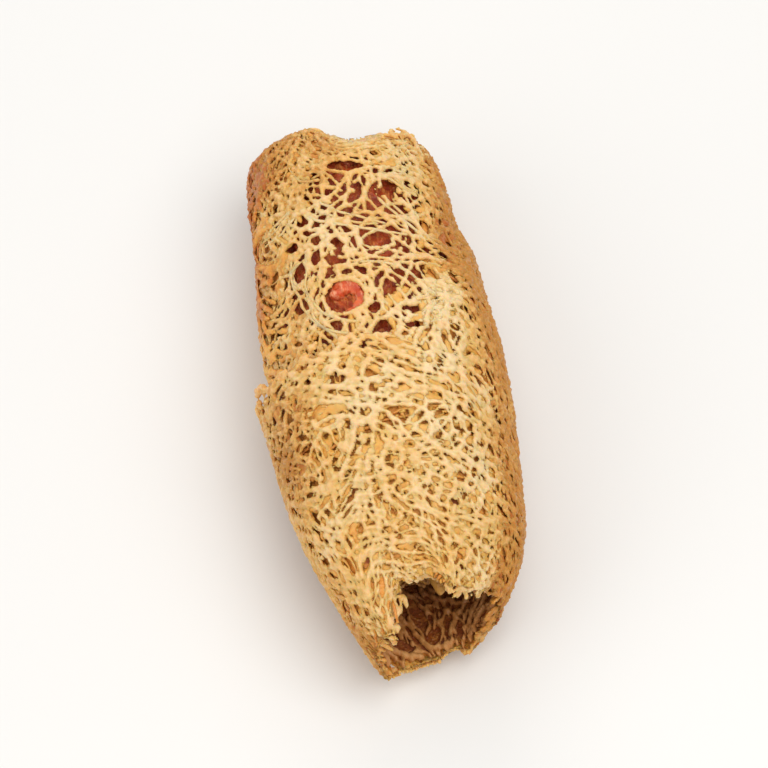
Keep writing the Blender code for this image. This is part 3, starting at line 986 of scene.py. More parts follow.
def fried_colour_group() -> Tree:
    """Colour of fried batter: pale to golden by patches and strands, then browned where it is told; what
    tells it also carries painted shade and a painted highlight.

    Returns:
        A group with the inputs Place, Tone, Browning, Pale, Golden and Brown, and the outputs
        Color and Oil, a mask of the oily places.
    """
    inputs = {"Place": (Socket.VECTOR, (0.0, 0.0, 0.0))}
    inputs |= {"Tone": (Socket.VALUE, 0.5), "Browning_and_painted_light": (Socket.VALUE, 0.3)}
    inputs |= {label: (Socket.COLOUR, WHITE) for label in ("Pale", "Golden", "Brown")}
    tree, graph, given, out = new_group("fried_colour", inputs, {"Color": Socket.COLOUR, "Oil": Socket.VALUE})
    place, tone, browning_and_painted_light, pale, gold, brown = (given.outputs[label] for label in inputs)
    patches = graph.spread(graph.noise(place, scale=0.16), low=0.34, high=0.66)
    specks = graph.spread(graph.noise(place, scale=1.3, detail=2.0), low=0.3, high=0.7)
    golden = graph.plus(graph.times(patches, 0.34), graph.times(specks, 0.24))
    golden = graph.plus(golden, graph.times(tone, 0.5), clamp=True)
    golden = graph.plus(golden, graph.times(browning_and_painted_light, 0.85), clamp=True)
    burnt = graph.spread(graph.plus(graph.times(specks, 0.35), browning_and_painted_light), low=0.62, high=1.25)
    oil = graph.spread(graph.noise(place, scale=0.31, detail=2.0), low=0.42, high=0.62)
    graph.feed(out, {"Color": graph.mix(burnt, graph.mix(golden, pale, gold), brown), "Oil": oil})
    return tree


def batter_grain_group() -> Tree:
    """Relief of fried batter: small bubbles and a finer crumb.

    Returns:
        A group with the inputs Place and Bubbles, and the output Height in millimetres.
    """
    inputs = {"Place": (Socket.VECTOR, (0.0, 0.0, 0.0)), "Bubbles": (Socket.VALUE, 1.0)}
    tree, graph, given, out = new_group("batter_grain", inputs, {"Height": Socket.VALUE})
    place = given.outputs["Place"]
    cells = graph.add("ShaderNodeTexVoronoi", {"Vector": place, "Scale": 2.6}, feature="SMOOTH_F1")
    domes = graph.spread(cells.outputs["Distance"], low=0.05, high=0.5, to=(1.0, 0.0))
    crumb = graph.times(graph.noise(place, scale=5.5), 0.45)
    graph.feed(out, {"Height": graph.plus(graph.times(domes, given.outputs["Bubbles"]), crumb)})
    return tree


@dataclass(frozen=True)
class FriedFinish:
    """Fried rice batter.

    Attributes:
        name: The material's name.
        pale: Colour of the barely fried strands.
        golden: Colour of the well fried ones.
        brown: Colour of the browned places.
        bubbles: Strength of the bubbles in the relief.
        relief: Height of the relief in millimetres.
        rough: Roughness where it is dry and where it is oily.
        glow: Share of light that passes under the surface.
        glow_colour: How far red, green and blue light pass, as shares of the depth.
        glow_depth: How far light passes, in millimetres.
        gloss: Strength of the mirrored light.
    """

    name: str
    pale: Colour
    golden: Colour
    brown: Colour
    bubbles: float = 0.6
    relief: float = 0.06
    rough: Pair = (0.58, 0.34)
    glow: float = 0.45
    glow_colour: Colour = (1.0, 0.45, 0.15)
    glow_depth: float = 1.3
    gloss: float = 0.4

    def build(self, colours: Tree, grain: Tree) -> Material:
        """Makes the material.

        Args:
            colours: The shared group of fried colours.
            grain: The shared group of batter relief.

        Returns:
            The material, which reads the strands' tone and browning.
        """
        made, graph, shader = new_material(self.name)
        place = graph.millimetres()
        links = {"Place": place}
        for label in ("Tone", "Browning_and_painted_light"):
            attribute = graph.add("ShaderNodeAttribute", attribute_name=label.lower())
            links[label] = attribute.outputs["Fac"]
        for label, colour in (("Pale", self.pale), ("Golden", self.golden), ("Brown", self.brown)):
            links[label] = (*colour, 1.0)
        fried = graph.add("ShaderNodeGroup", links, node_tree=colours)
        batter = graph.add("ShaderNodeGroup", {"Place": place, "Bubbles": self.bubbles}, node_tree=grain)
        graph.feed(shader, {
            "Base Color": fried.outputs["Color"],
            "Roughness": graph.spread(fried.outputs["Oil"], 0.0, 1.0, self.rough),
            "Normal": graph.relief(batter.outputs["Height"], self.relief),
            "Subsurface Weight": self.glow,
            "Subsurface Radius": self.glow_colour,
            "Subsurface Scale": self.glow_depth * MM,
            "Specular IOR Level": self.gloss,
        })
        return made


@dataclass(frozen=True)
class FillingFinish:
    """Cooked filling: moist meat and shrimp with paler fibres, and hollows painted darker, partly its own
    colour and partly painted shade.

    Attributes:
        name: The material's name.
        dark_and_shade: Colour of the hollows: the mince's darker colour, with painted shade.
        middle: Colour of the lumps.
        light: Colour of the fibres.
        scale: Lumps for each millimetre.
        relief: Height of the relief in millimetres.
        rough: Least roughness, and how much is added in places.
        stretch: Scale of the fibres along x, y and z.
        glow: Share of light that passes under the surface.
        glow_colour: How far red, green and blue light pass, as shares of the depth.
        glow_depth: How far light passes, in millimetres.
    """

    name: str
    dark_and_shade: Colour
    middle: Colour
    light: Colour
    scale: float = 0.55
    relief: float = 0.25
    rough: Pair = (0.36, 0.22)
    stretch: Triple = (3.2, 0.7, 2.4)
    glow: float = 0.3
    glow_colour: Colour = (1.0, 0.3, 0.15)
    glow_depth: float = 1.2

    def build(self) -> Material:
        """Makes the material: lumps set the colour and the relief, so the hollows take the darkest colour as
        painted shade, and a stretched noise gives the fibres.
        """
        made, graph, shader = new_material(self.name)
        place = graph.millimetres()
        dark_and_shade, middle, light = ((*colour, 1.0) for colour in (self.dark_and_shade, self.middle, self.light))
        # The lumps set both colour and relief: their low places, the hollows, take the darkest colour as
        # painted shade.
        lumps = graph.spread(graph.noise(place, self.scale, 4.0, 0.6), low=0.32, high=0.68)
        long = graph.add("ShaderNodeMapping", {"Vector": place, "Scale": self.stretch}).outputs[0]
        fibres = graph.spread(graph.noise(long, scale=0.8), low=0.45, high=0.72)
        least, more = self.rough
        moist = graph.noise(place, scale=1.1, detail=2.0)
        graph.feed(shader, {
            "Base Color": graph.mix(graph.times(fibres, 0.7), graph.mix(lumps, dark_and_shade, middle), light),
            "Roughness": graph.spread(moist, low=0.3, high=0.7, to=(least, least + more)),
            "Normal": graph.relief(graph.plus(lumps, graph.times(fibres, 0.4)), self.relief),
            "Subsurface Weight": self.glow,
            "Subsurface Radius": self.glow_colour,
            "Subsurface Scale": self.glow_depth * MM,
        })
        return made


@dataclass
class Wrapper:
    """The rolled net: webs and strands over a thin fried sheet, from the folded end to the mouth.

    Attributes:
        form: The roll's form.
        mean_radius: Radius at which the flat sheet's u is as long as the way round.
        past_lip: How far the flat sheet runs on past the lip.
        patch: Angle and along of the loosened patch, its half angle and its half length.
        patch_skew: Turn of the patch for each millimetre along.
        patch_ragged: Height and length of the waves of its edge.
        sheet_depth: How deep the fried sheet lies under the net.
        sheet_wall: Its thickness.
        end_radius: Half side of the flat net on the folded end.
        end_lap: Height of the spiral there.
        tatter: Length of the lip's tatters.
        side_ragged: Raggedness of the free edges that run along the roll.
        lip_waves: Length, seed and height of the waves of its tatters.
        teeth: Angle, half angle and length of the larger tatters.
        edge_softness: Half the length over which the last turn ends, on the right and on the left.
        edge_waves: Length, seed and height of the waves of its edge.
        browned: How brown the whole is.
        brown_waves: Length, seed and height of the slow waves in how brown it is.
        right_flank_brown_and_shade: Sines of the angles from which to which the right flank darkens, and by
            how much: partly browned batter, partly painted shade.
        left_flank_brown_and_shade: The same for the left flank, also partly painted shade.
        brown_under: The same for the underside, by the cosine.
        far_shoulder_brown_and_shade: Where the far shoulder's darkening starts to fade and where it ends, how
            strong
        it is, and how much stronger on the left: partly browned batter, partly painted shade.
        brown_lip: From where to where the lip browns, and by how much.
        painted_highlight_spot: A painted highlight: how much paler the top is near the mouth, where the light
            falls, its angle and along, and its half sizes.
        collar: Radius and along of the flap on the far rim.
        collar_angles: Where the flap starts, and its span.
        flap: Angle and along of the last turn's loose corner, how far it lifts and how fast that fades.
        flap_width: Half angle of that corner.
        holes: The larger holes.
    """

    form: RollForm = field(default_factory=RollForm)
    mean_radius: float = 15.2
    past_lip: float = 3.0
    patch: tuple[float, float, float, float] = (math.radians(-6), 25.0, math.radians(66), 19.5)
    patch_skew: float = math.radians(0.8)
    patch_ragged: Pair = (0.12, 9.0)
    sheet_depth: float = 1.0
    sheet_wall: float = 0.3
    end_radius: float = 13.0
    end_lap: float = 0.4
    tatter: float = 0.85
    side_ragged: float = 0.8
    lip_waves: tuple[Triple, ...] = ((2.3, 77, 0.5), (6.0, 78, 0.5))
    teeth: tuple[Triple, ...] = ((13, 10, 1.3), (-34, 8, 1.2), (120, 34, 0.8))
    edge_softness: Pair = (4.0, 0.35)
    edge_waves: tuple[Triple, ...] = ((2.4, 79, 0.45), (5.5, 80, 0.5))
    browned: float = 0.26
    brown_waves: tuple[Triple, ...] = ((26.0, 5, 0.14), (9.0, 6, 0.06))
    right_flank_brown_and_shade: Triple = (0.5, 0.95, 0.9)
    left_flank_brown_and_shade: Triple = (0.35, 0.9, 0.38)
    brown_under: Triple = (0.2, 0.9, 0.15)
    far_shoulder_brown_and_shade: tuple[float, float, float, float] = (4.0, 19.0, 0.14, 0.32)
    brown_lip: Triple = (70.0, 77.0, 0.12)
    painted_highlight_spot: tuple[float, ...] = (0.2, math.radians(24), 57, math.radians(46), 17)
    collar: tuple[Pair, ...] = ((12.6, 7.5), (12.6, 4.4), (12.3, 2.4), (12.0, 1.4), (12.0, 0.6))
    collar_angles: Pair = (math.radians(14), math.radians(52))
    flap: tuple[float, float, float, float] = (math.radians(-78), 41.5, 0.7, 6.0)
    flap_width: float = math.radians(18)
    holes: tuple[Hole, ...] = (
        Hole(-2, 11.2, 2.9, 1.4, 14), Hole(2, 15.8, 1.0, 0.7, 9), Hole(18, 16.9, 1.4, 0.9, -4),
        Hole(29, 17.5, 1.1, 0.55, 33), Hole(24, 20.1, 2.4, 1.0, -6), Hole(-10, 20.0, 0.6, 0.6, 16),
        Hole(-22, 20.5, 1.7, 0.6, -26), Hole(-26, 23.2, 1.0, 0.8, 25), Hole(-13, 25.2, 1.0, 0.8, 16),
        Hole(-18, 27.3, 1.7, 0.8, 40), Hole(-29, 26.0, 0.7, 0.6, 24), Hole(8, 25.3, 2.3, 1.2, -5),
        Hole(21, 26.2, 1.4, 0.5, 51), Hole(-44, 22.4, 1.5, 0.7, -4), Hole(-60, 25.3, 1.6, 1.0, -50),
        Hole(-51, 26.8, 1.8, 0.6, -60), Hole(-40, 27.0, 1.6, 1.2, -62), Hole(-43, 29.8, 1.9, 0.6, 4),
        Hole(-42, 32.2, 1.8, 0.9, 19), Hole(-16, 33.2, 3.1, 2.7, 19), Hole(-1, 35.9, 1.1, 0.8, -10),
        Hole(1, 39.4, 1.4, 1.3, 11), Hole(10, 33.0, 1.1, 0.8, 86), Hole(17, 36.8, 1.3, 0.55, 20),
        Hole(16, 39.6, 1.3, 0.8, 13), Hole(41, 22.2, 1.6, 0.9, 88), Hole(31, 22.8, 1.3, 0.7, 90),
        Hole(35, 31.0, 1.5, 0.6, 82), Hole(44, 31.8, 1.6, 0.6, 97), Hole(28, 42.4, 1.4, 0.5, 93),
        Hole(-49, 37.2, 1.3, 0.5, 27), Hole(-5, 29.7, 1.3, 0.45, 49), Hole(-10, 46.6, 0.8, 0.8),
        Hole(-10, 49.2, 0.7, 0.4, 10), Hole(-60, 62.0, 1.8, 0.5, 62), Hole(-52, 58.0, 1.0, 0.4, 60),
        Hole(-40, 71.0, 0.8, 0.6, 20), Hole(26, 55.5, 0.7, 0.5, 30),
    )

    def profile(self) -> tuple[Array, Array, Array]:
        """The profile that the net lies on, from the end face's edge over the lip and inwards.

        Returns:
            For each of its points the way along it, the radius and the distance along the roll.
        """
        outer = smooth_curve(self.form.outline[2:], 8)
        curve = np.vstack([outer, smooth_curve(self.form.inner_outline, 6)])
        return way_along(curve), curve[:, 0], curve[:, 1]

    def lip_way(self) -> float:
        """The way along the profile at the lip."""
        way, _, along = self.profile()
        return float(way[along.argmax()])

    def lifted(self, angle: Array, along: Array) -> Array:
        """How far the last turn's corner stands off: most at its edge, less towards the mouth.

        Args:
            angle: Turn from the top towards +X.
            along: Distance from the folded end.

        Returns:
            A bump over the angle, times e to minus the squared distance past the edge.
        """
        centre, at, rise, fade = self.flap
        past = np.maximum(0.0, along - at) / fade
        return rise * bump(angle, centre, self.flap_width) * np.exp(-(past**2))

    def outer_place(self, u: Array, v: Array, turn: Turn = Turn.WHOLE) -> Array:
        """Rolls the flat sheet up.

        Args:
            u: Way round the roll.
            v: Way along its profile.
            turn: Which turn of the sheet the place lies on.

        Returns:
            Places in millimetres. The angle grows evenly with u from the sheet's free edge, and
            the radius and the distance along are read off the profile at v.
        """
        way, radius, along = self.profile()
        way_round = u / self.mean_radius
        angle = self.form.lap_angle + way_round
        at = np.interp(v, way, along)
        lap = self.form.lap_step * way_round / TURN
        loose = 0.0 if turn is Turn.INNER else self.lifted(angle, at)
        return self.form.place(np.interp(v, way, radius) + loose, angle, at, lap, turn)

    def tattered_place(self, u: Array, v: Array, turn: Turn = Turn.WHOLE) -> Array:
        """Rolls the flat sheet up as far as the lip, past which it runs on straight.

        Args:
            u: Way round the roll.
            v: Way along its profile.
            turn: Which turn of the sheet the place lies on.

        Returns:
            Places in millimetres.
        """
        lip, small = self.lip_way(), 0.8
        held = np.minimum(v, lip)
        here = self.outer_place(u, held, turn)
        ahead = unit(here - self.outer_place(u, held - small, turn))
        return here + ahead * (v - held)[..., None]

    def end_place(self, u: Array, v: Array) -> Array:
        """Lays a flat net over the folded end.

        Args:
            u: Way to the side over the face.
            v: Way upwards over the face.

        Returns:
            Places in millimetres, as deep as the outline and the coil's groove at their radius.
        """
        x, z = u - self.end_radius, v - self.end_radius
        radius, angle = np.hypot(x, z), np.arctan2(x, z)
        points = np.array(self.form.outline[:6])
        along = np.interp(radius, points[:, 0], points[:, 1]) + self.form.coil_depth(radius, angle)
        return self.form.place(radius, angle, along, self.end_lap)

    def looseness(self, angle: Array, along: Array) -> Array:
        """How loose the net is.

        Args:
            angle: Turn from the top towards +X.
            along: Distance from the folded end.

        Returns:
            1 in the middle of the loosened patch, a skewed ellipse, and 0 outside its wavy edge.
        """
        centre, at, wide, long = self.patch
        height, length = self.patch_ragged
        ragged = height * Waves(length, 31).height(angle * self.mean_radius, along)
        turned = angle_from(angle, centre) - self.patch_skew * (at - along)
        away = np.sqrt((turned / wide) ** 2 + ((along - at) / long) ** 2)
        return 1 - smoothstep(0.55, 1.1, away + ragged)

    def spots(self, u: Array, v: Array) -> tuple[Array, Array]:
        """Angle and along of places on the unrolled sheet."""
        way, _, along = self.profile()
        return self.form.lap_angle + u / self.mean_radius, np.interp(v, way, along)

    def edge(self, u: Array, v: Array, reach: float) -> Array:
        """Where there is sheet.

        Args:
            u: Way round the roll.
            v: Way along its profile.
            reach: How far the sheet reaches past the lip.

        Returns:
            1 on the sheet, and below 0 past its ragged free edges and its tattered lip.
        """
        ragged = added_waves(self.lip_waves, u, v)
        angle = self.form.lap_angle + u / self.mean_radius
        for centre, wide, length in self.teeth:
            ragged = ragged + length * bump(angle, math.radians(centre), math.radians(wide))
        ends = (v > 0.1) & (v < self.lip_way() + reach + self.tatter * ragged)
        torn = self.side_ragged * ragged
        sides = (u > -0.6 + torn) & (u < TURN * self.mean_radius + 2.4 + torn)
        return np.where(ends & sides, 1.0, DROPPED)

    def past_edge(self, u: Array, v: Array) -> Array:
        """Where the last turn covers the roll.

        Args:
            u: Way round the roll.
            v: Way along its profile.

        Returns:
            0 before its free edge and 1 past it: crisp on the left, else a slow change.
        """
        angle, along = self.spots(u, v)
        left, edge, _ = self.form.free_edge(angle)
        half = between(self.edge_softness, smoothstep(0.3, 0.7, left))
        return smoothstep(-half, half, along - edge + added_waves(self.edge_waves, u, v))

    def browning_and_painted_light(self, u: Array, v: Array) -> Array:
        """How browned the batter is, with painted shade and a painted highlight added.

        Args:
            u: Way round the roll.
            v: Way along its profile.

        Returns:
            From 0 to 1: more on the flanks and the far shoulder, partly browned batter and partly painted
                shade, and on the lip, in slow patches; less at a painted highlight near the mouth.
        """
        angle, along = self.spots(u, v)
        waves = added_waves(self.brown_waves, u, v)
        # The flanks and the far shoulder's left side are darker partly as browned batter and partly as
        # painted shade.
        right = rising(self.right_flank_brown_and_shade, np.sin(angle))
        left = rising(self.left_flank_brown_and_shade, -np.sin(angle))
        under = rising(self.brown_under, -np.cos(angle))
        near, far, even, more = self.far_shoulder_brown_and_shade
        shoulder = (1 - smoothstep(near, far, along)) * (even + more * smoothstep(0.15, -0.25, np.sin(angle)))
        lip = rising(self.brown_lip, along)
        # Painted highlight: the top near the mouth, where the key light falls, is painted paler.
        paler, centre, at, wide, long = self.painted_highlight_spot
        pale = -paler * np.exp(-(((along - at) / long) ** 2)) * bump(angle, centre, wide)
        return np.clip(self.browned + waves + right + left + under + shoulder + lip + pale, 0.0, 1.0)

    def flat_holes(self, narrow: float) -> tuple[tuple[float, ...], ...]:
        """The holes in the flat sheet's own lengths.

        Args:
            narrow: Half width up to which a hole is left out.

        Returns:
            For each hole its u and v, its half sizes and its slant.
        """
        way, _, along = self.profile()
        outside = slice(0, along.argmax() + 1)
        return tuple(
            (
                ((math.radians(hole.angle) - self.form.lap_angle) % TURN) * self.mean_radius,
                float(np.interp(hole.along, along[outside], way[outside])),
                hole.length, hole.width, math.radians(hole.slant),
            )
            for hole in self.holes if hole.width > narrow
        )

    def outer_layer(
        self, kind: type, name: str, drizzle: dict[str, float], loose: float,
        turn: Turn = Turn.WHOLE, inwards: float = 0.0, dense: float = KEPT, narrow: float = 0.0,
        part: Pair = (-math.inf, math.inf), **sizes: object,
    ) -> NetLayer:
        """One layer of the rolled net.

        Args:
            kind: Whether it is strands or a web.
            name: The piece's name.
            drizzle: The cover, the seed and other sizes of its strands.
            loose: Share of its strands that cross the loosened patch.
            turn: Whether it covers the whole roll, the last turn or what that leaves.
            inwards: How far it wraps round the lip, or 0 where it ends in tatters.
            dense: Share of its strands on the dense net, above 1 where none is thinned at its end.
            narrow: Half width up to which its strands run across a hole and not round it.
            part: Where it starts and ends round the roll, on the unrolled sheet.
            **sizes: The layer's other sizes.

        Returns:
            The layer, ready to build.
        """
        length, width = TURN * self.mean_radius, self.lip_way() + self.past_lip

        def keep(u: Array, v: Array) -> Array:
            """Share of strands kept: all on the dense net, fewer across the loosened patch."""
            angle, along = self.spots(u, v)
            open_place = self.looseness(angle, along) * (v < self.lip_way())
            kept = np.minimum(self.edge(u, v, inwards or 0.3) * KEPT, dense + open_place * (loose - dense))
            kept = np.where((u > part[0]) & (u < part[1]), kept, DROPPED)
            if turn is Turn.WHOLE:
                return kept
            past = self.past_edge(u, v)
            return kept * (past if turn is Turn.LAST else 1 - smoothstep(0.9, 1.0, past)) - 0.001

        def place(u: Array, v: Array) -> Array:
            """The outer form on the layer's turn."""
            return self.outer_place(u, v, turn) if inwards else self.tattered_place(u, v, turn)

        strands = Drizzle(length, width, holes=self.flat_holes(narrow), **drizzle)
        return kind(name, strands, place, keep, self.browning_and_painted_light, self.form.rested, **sizes)

    def layers(self) -> list[NetLayer]:
        """The net's layers.

        Returns:
            The layers from the outside in, and the nets in the mouth and on the folded end. The
            two lacy turns are each made in two parts that overlap on the hidden side.
        """
        web = {"step": FINE_STEP, "wobble": 0.05, "cell": 1.2, "draw": 0.07, "gap": 0.85, "cover": 4.7}
        web |= {"reach": (9.0, 30.0), "bend": (5.0, 24.0)}
        thin = {"cover": 0.3, "seed": 11, "step": 0.5, "draw": 0.07}
        thin |= {"reach": (6.0, 20.0), "bend": (6.0, 22.0)}
        amber = {"cover": 0.6, "seed": 13}
        thick = {"half_width": (0.17, 0.26)}
        layer = self.outer_layer
        layers = [
            layer(
                Strands, "outer_strands", thin, 0.9, Turn.INNER, dense=0.02, narrow=1.1,
                offset=-0.42, unevenness=0.06, **thick,
            )
        ]
        seam, shared = math.radians(127) * self.mean_radius, 0.3
        above = {"part": (seam - shared, math.inf), "pitch": 0.265}
        under = {"part": (-math.inf, seam + shared), "pitch": 0.37}
        lacy = {"core": 0.15, "open_share": 0.46}
        for name, seed, loose, turn, offset in (
            ("last_turn_web", 21, 0.85, Turn.LAST, -0.4), ("inner_turn_web", 23, 0.61, Turn.INNER, -0.5),
        ):
            for ending, part in (("", above), ("_under", under)):
                drizzle = {"seed": seed, **web}
                layers.append(layer(Web, name + ending, drizzle, loose, turn, offset=offset, **part, **lacy))
        golden = {**web, "cover": 2.6, "seed": 22}
        layers += [
            layer(Web, "golden_web", golden, 0.08, inwards=3.0, offset=-0.66, pitch=0.46, core=0.22),
            layer(Strands, "amber_strands", amber, 0.06, inwards=2.0, offset=-0.85, **thick),
            self._mouth_web(),
            self._end_web(),
            self._collar_web(),
        ]
        return layers

    def _collar_web(self) -> Web:
        """The ragged flap of net that stands up from the far rim on the right."""
        first, span = self.collar_angles
        curve = smooth_curve(self.collar, 6)
        way = way_along(curve)
        length, width = span * self.end_radius, way[-1]

        def place(u: Array, v: Array) -> Array:
            """The collar: it follows the shoulder and then leaves it."""
            radius, along = (np.interp(width - v, way, side) for side in curve.T)
            return self.form.place(radius, first + u / self.end_radius, along, self.end_lap)

        def keep(u: Array, v: Array) -> Array:
            """Most stands at the middle of the flap, and its end is torn."""
            share = u / length
            arch = np.sin(np.clip(share, 0, 1) * math.pi) ** 0.7
            end = width * (1 - arch) + 0.45 * Waves(2.2, 91).height(u, v)
            return np.where((v > end) & (v < width - 0.2) & (share > 0) & (share < 1), KEPT, DROPPED)

        strands = fine_drizzle(length, width, 4.0, 45, (5.0, 16.0), (5.0, 18.0), wobble=0.05, draw=0.13)
        sizes = {"offset": 0.1, "pitch": 0.25, "open_share": 0.5}
        return Web("rim_flap", strands, place, keep, self.shoulder_brown, self.form.rested, **sizes)

    def shoulder_brown(self, u: Array, v: Array) -> Array:
        """An even light brown with slow waves."""
        return np.clip(0.25 + 0.15 * Waves(8.0, 92).height(u, v), 0.0, 1.0)

    def _mouth_web(self) -> Web:
        """The net on the wall of the hollow behind the mouth, painted darker with depth as shade."""
        lip, way = self.lip_way(), self.profile()[0][-1]
        span = TURN * self.mean_radius

        def place(u: Array, v: Array) -> Array:
            """The wall of the hollow, from the lip inwards."""
            return self.outer_place(u, v + lip)

        def keep(u: Array, v: Array) -> Array:
            """Strands are kept from just inside the lip to the deepest part of the hollow."""
            inside = (v > 1.0) & (v < way - lip - 0.2) & (u > -0.5) & (u < span + 0.5)
            return np.where(inside, KEPT, DROPPED)

        def dark_and_shade(u: Array, v: Array) -> Array:
            """The hollow's wall is painted darker with depth: painted shade."""
            return np.clip(0.15 + 0.05 * v, 0.0, 1.0)

        strands = fine_drizzle(span, way - lip, 2.4, 41, (8.0, 24.0), (5.0, 20.0), cell=1.8, draw=0.14)
        sizes = {"offset": 0.35, "core": 0.18, "height": 0.3}
        return Web("mouth_web", strands, place, keep, dark_and_shade, self.form.rested, **sizes)

    def _end_web(self) -> Web:
        """The net over the folded end, which follows the coil of the sheet's inner turns."""
        middle = self.end_radius

        def keep(u: Array, v: Array) -> Array:
            """Strands are kept inside a ragged circle."""
            away = np.hypot(u - middle, v - middle) + 0.4 * Waves(3.0, 44).height(u, v)
            return np.where(away < 10.6, KEPT, DROPPED)

        def brown(u: Array, v: Array) -> Array:
            """The coil browns towards its middle."""
            return np.clip(0.55 - 0.02 * np.hypot(u - middle, v - middle), 0.0, 1.0)

        side = 2 * middle
        strands = fine_drizzle(side, side, 2.4, 42, (8.0, 24.0), (5.0, 16.0), wobble=0.05, draw=0.13)
        return Web("end_web", strands, self.end_place, keep, brown, self.form.rested, offset=-0.2)

    def sheet(self) -> Piece:
        """The thin fried sheet under the strands, open at the loosened patch.

        Returns:
            A turned surface from the middle of the folded end over the flanks to the lip and back
            inside, a set depth under the net, with a thin wall.
        """
        outer = smooth_curve(self.form.outline, 9)
        outward = unit(np.stack([np.gradient(outer[:, 1]), -np.gradient(outer[:, 0])], axis=-1))
        sunk = outer - outward * self.sheet_depth
        sunk = sunk[(sunk[:, 0] > 0.05) & (sunk[:, 1] < self.form.length - 1.6)]
        sunk = np.vstack([[0.0, sunk[0, 1]], sunk])
        inner = smooth_curve(self.form.inner_outline, 4)
        inner = inner[inner[:, 1] < sunk[-1, 1] - 0.3]
        curve = np.vstack([sunk, inner])
        angle = np.linspace(0, TURN, 180, endpoint=False) + self.form.lap_angle
        radius, turn = np.meshgrid(curve[:, 0], angle, indexing="ij")
        along = np.broadcast_to(curve[:, 1:], turn.shape)
        outside = (np.arange(len(curve)) < len(sunk))[:, None]
        coiled = along + self.form.coil_depth(radius, turn) * (along < 6) * outside
        points = self.form.rested(self.form.place(radius, turn, coiled))
        faces = turned_faces(len(curve), len(angle), last=False)
        loose = self.looseness(turn, along) * outside
        faces = faces[loose.ravel()[faces].mean(axis=1) < 0.35]
        patchy = 0.42 + 0.2 * Waves(7.0, 8).height(turn * self.mean_radius, along)
        # Inside the mouth's hollow the sheet is painted the darkest brown: partly its own colour, partly
        # painted shade.
        brown = np.where(outside, np.clip(patchy, 0, 1), 1.0)
        fields = {"tone": np.full(turn.size, 0.6), "browning_and_painted_light": brown.ravel()}
        made = add_mesh("fried_sheet", points.reshape(-1, 3), faces[:, ::-1], fields)
        wall = made.modifiers.new("wall", "SOLIDIFY")
        wall.thickness = self.sheet_wall * MM
        wall.offset = -1
        return made


@dataclass
class MouthCoil:
    """The sheet's inner turns, which show as a low coil behind the mouth.

    Attributes:
        form: The roll's form.
        angles: Where the coil starts and ends.
        radii: Its radius at both.
        along: Its deep end and its front edge.
        tongue: Angle and half angle of its loose part, how far it reaches out and how far it droops.
        thickness: Its wall.
        ends: How fast the wall thickens from both ends of the coil.
        front_waves: Waves for each radian, height and phase of the front edge.
        steps: Sections along it.
        corners: Points round a section.
    """

    form: RollForm = field(default_factory=RollForm)
    angles: Pair = (math.radians(-270), math.radians(100))
    radii: Pair = (3.6, 11.4)
    along: Pair = (61.0, 67.6)
    tongue: tuple[float, float, float, float] = (math.radians(10), math.radians(27), 7.2, 5.4)
    thickness: float = 1.7
    ends: float = 25
    front_waves: tuple[Triple, ...] = ((3.1, 0.5, 0), (7.3, 0.3, 1))
    steps: int = 150
    corners: int = 40

    def sides(self) -> Pair:
        """Length of the coil's middle line, and the way round its section."""
        span = (self.angles[1] - self.angles[0]) * sum(self.radii) / 2
        return span, 2 * (self.along[1] - self.along[0]) + self.thickness

    def place(self, u: Array, v: Array, swell: float = 0.0) -> Array:
        """Places on the coil.

        Args:
            u: Way along the coil.
            v: Way round its section, from deep on the outer side over the front edge and back.
            swell: How far the places stand off the wall.

        Returns:
            Points in millimetres. The section is two straight sides joined by half a circle, the
            radius grows evenly with the angle, and the front edge waves a little. A loose tongue,
            a squarish bump along the coil, reaches further out and droops.
        """
        share = np.clip(u / self.sides()[0], 0.0, 1.0)
        angle = between(self.angles, share)
        thin = np.sqrt(np.clip(np.minimum(share, 1 - share) * self.ends, 0.02, 1.0))
        half = self.thickness / 2 * thin + swell
        centre, wide, reach, droop = self.tongue
        loose = bump(angle, centre, wide, 4)
        waves = (height * np.sin(angle * count + phase) for count, height, phase in self.front_waves)
        front = sum(waves, start=self.along[1] - self.thickness / 2) + reach * loose
        depth = front - self.along[0]
        bend = np.clip((v - depth) / half, 0.0, math.pi)
        past = np.maximum(0.0, v - depth - half * math.pi)
        along = np.minimum(self.along[0] + v, front) + half * np.sin(bend) - past
        radius = between(self.radii, share) + half * np.cos(bend)
        radius = radius - droop * loose * smoothstep(self.along[1] - 2.5, self.along[1] + reach, along)
        return self.form.place(radius, angle, along)

    def build(self) -> Piece:
        """Makes the coil's body: sections along it, closed at the deep side and at both ends."""
        span, width = self.sides()
        u, v = np.linspace(0, span, self.steps), np.linspace(0, width, self.corners)
        across, round_ = np.meshgrid(u, v, indexing="ij")
        points = self.place(across, round_)
        points[0] = points[0].mean(axis=0)
        points[-1] = points[-1].mean(axis=0)
        faces = turned_faces(self.steps, self.corners)
        flat = across.ravel()
        fields = {"tone": np.full(flat.size, 0.4), "browning_and_painted_light": 0.35 + 0.1 * np.sin(flat * 0.5)}
        return add_mesh("inner_coil", self.form.rested(points).reshape(-1, 3), faces, fields)

    def net(self) -> Web:
        """The net that lies on the coil."""
        span, width = self.sides()

        def place(u: Array, v: Array) -> Array:
            """A little proud of the coil's wall."""
            return self.place(u, v, 0.08)

        def keep(u: Array, v: Array) -> Array:
            """Strands are kept short of the coil's ends and beside its smooth tongue."""
            beside = bump(between(self.angles, u / span), *self.tongue[:2], 4) < 0.3
            ends = (u > 0.6) & (u < span - 0.6) & (v > 0.3) & (v < width - 0.6)
            return np.where(ends & beside, KEPT, DROPPED)

        def brown(u: Array, v: Array) -> Array:
            """The front edge is a little paler than the sides."""
            return 0.4 - 0.2 * np.exp(-(((v - width / 2) / 1.5) ** 2))

        strands = fine_drizzle(span, width, 1.9, 46, (6.0, 20.0), (4.0, 20.0), wobble=0.05, draw=0.16)
        return Web("coil_web", strands, place, keep, brown, self.form.rested, offset=0.05)


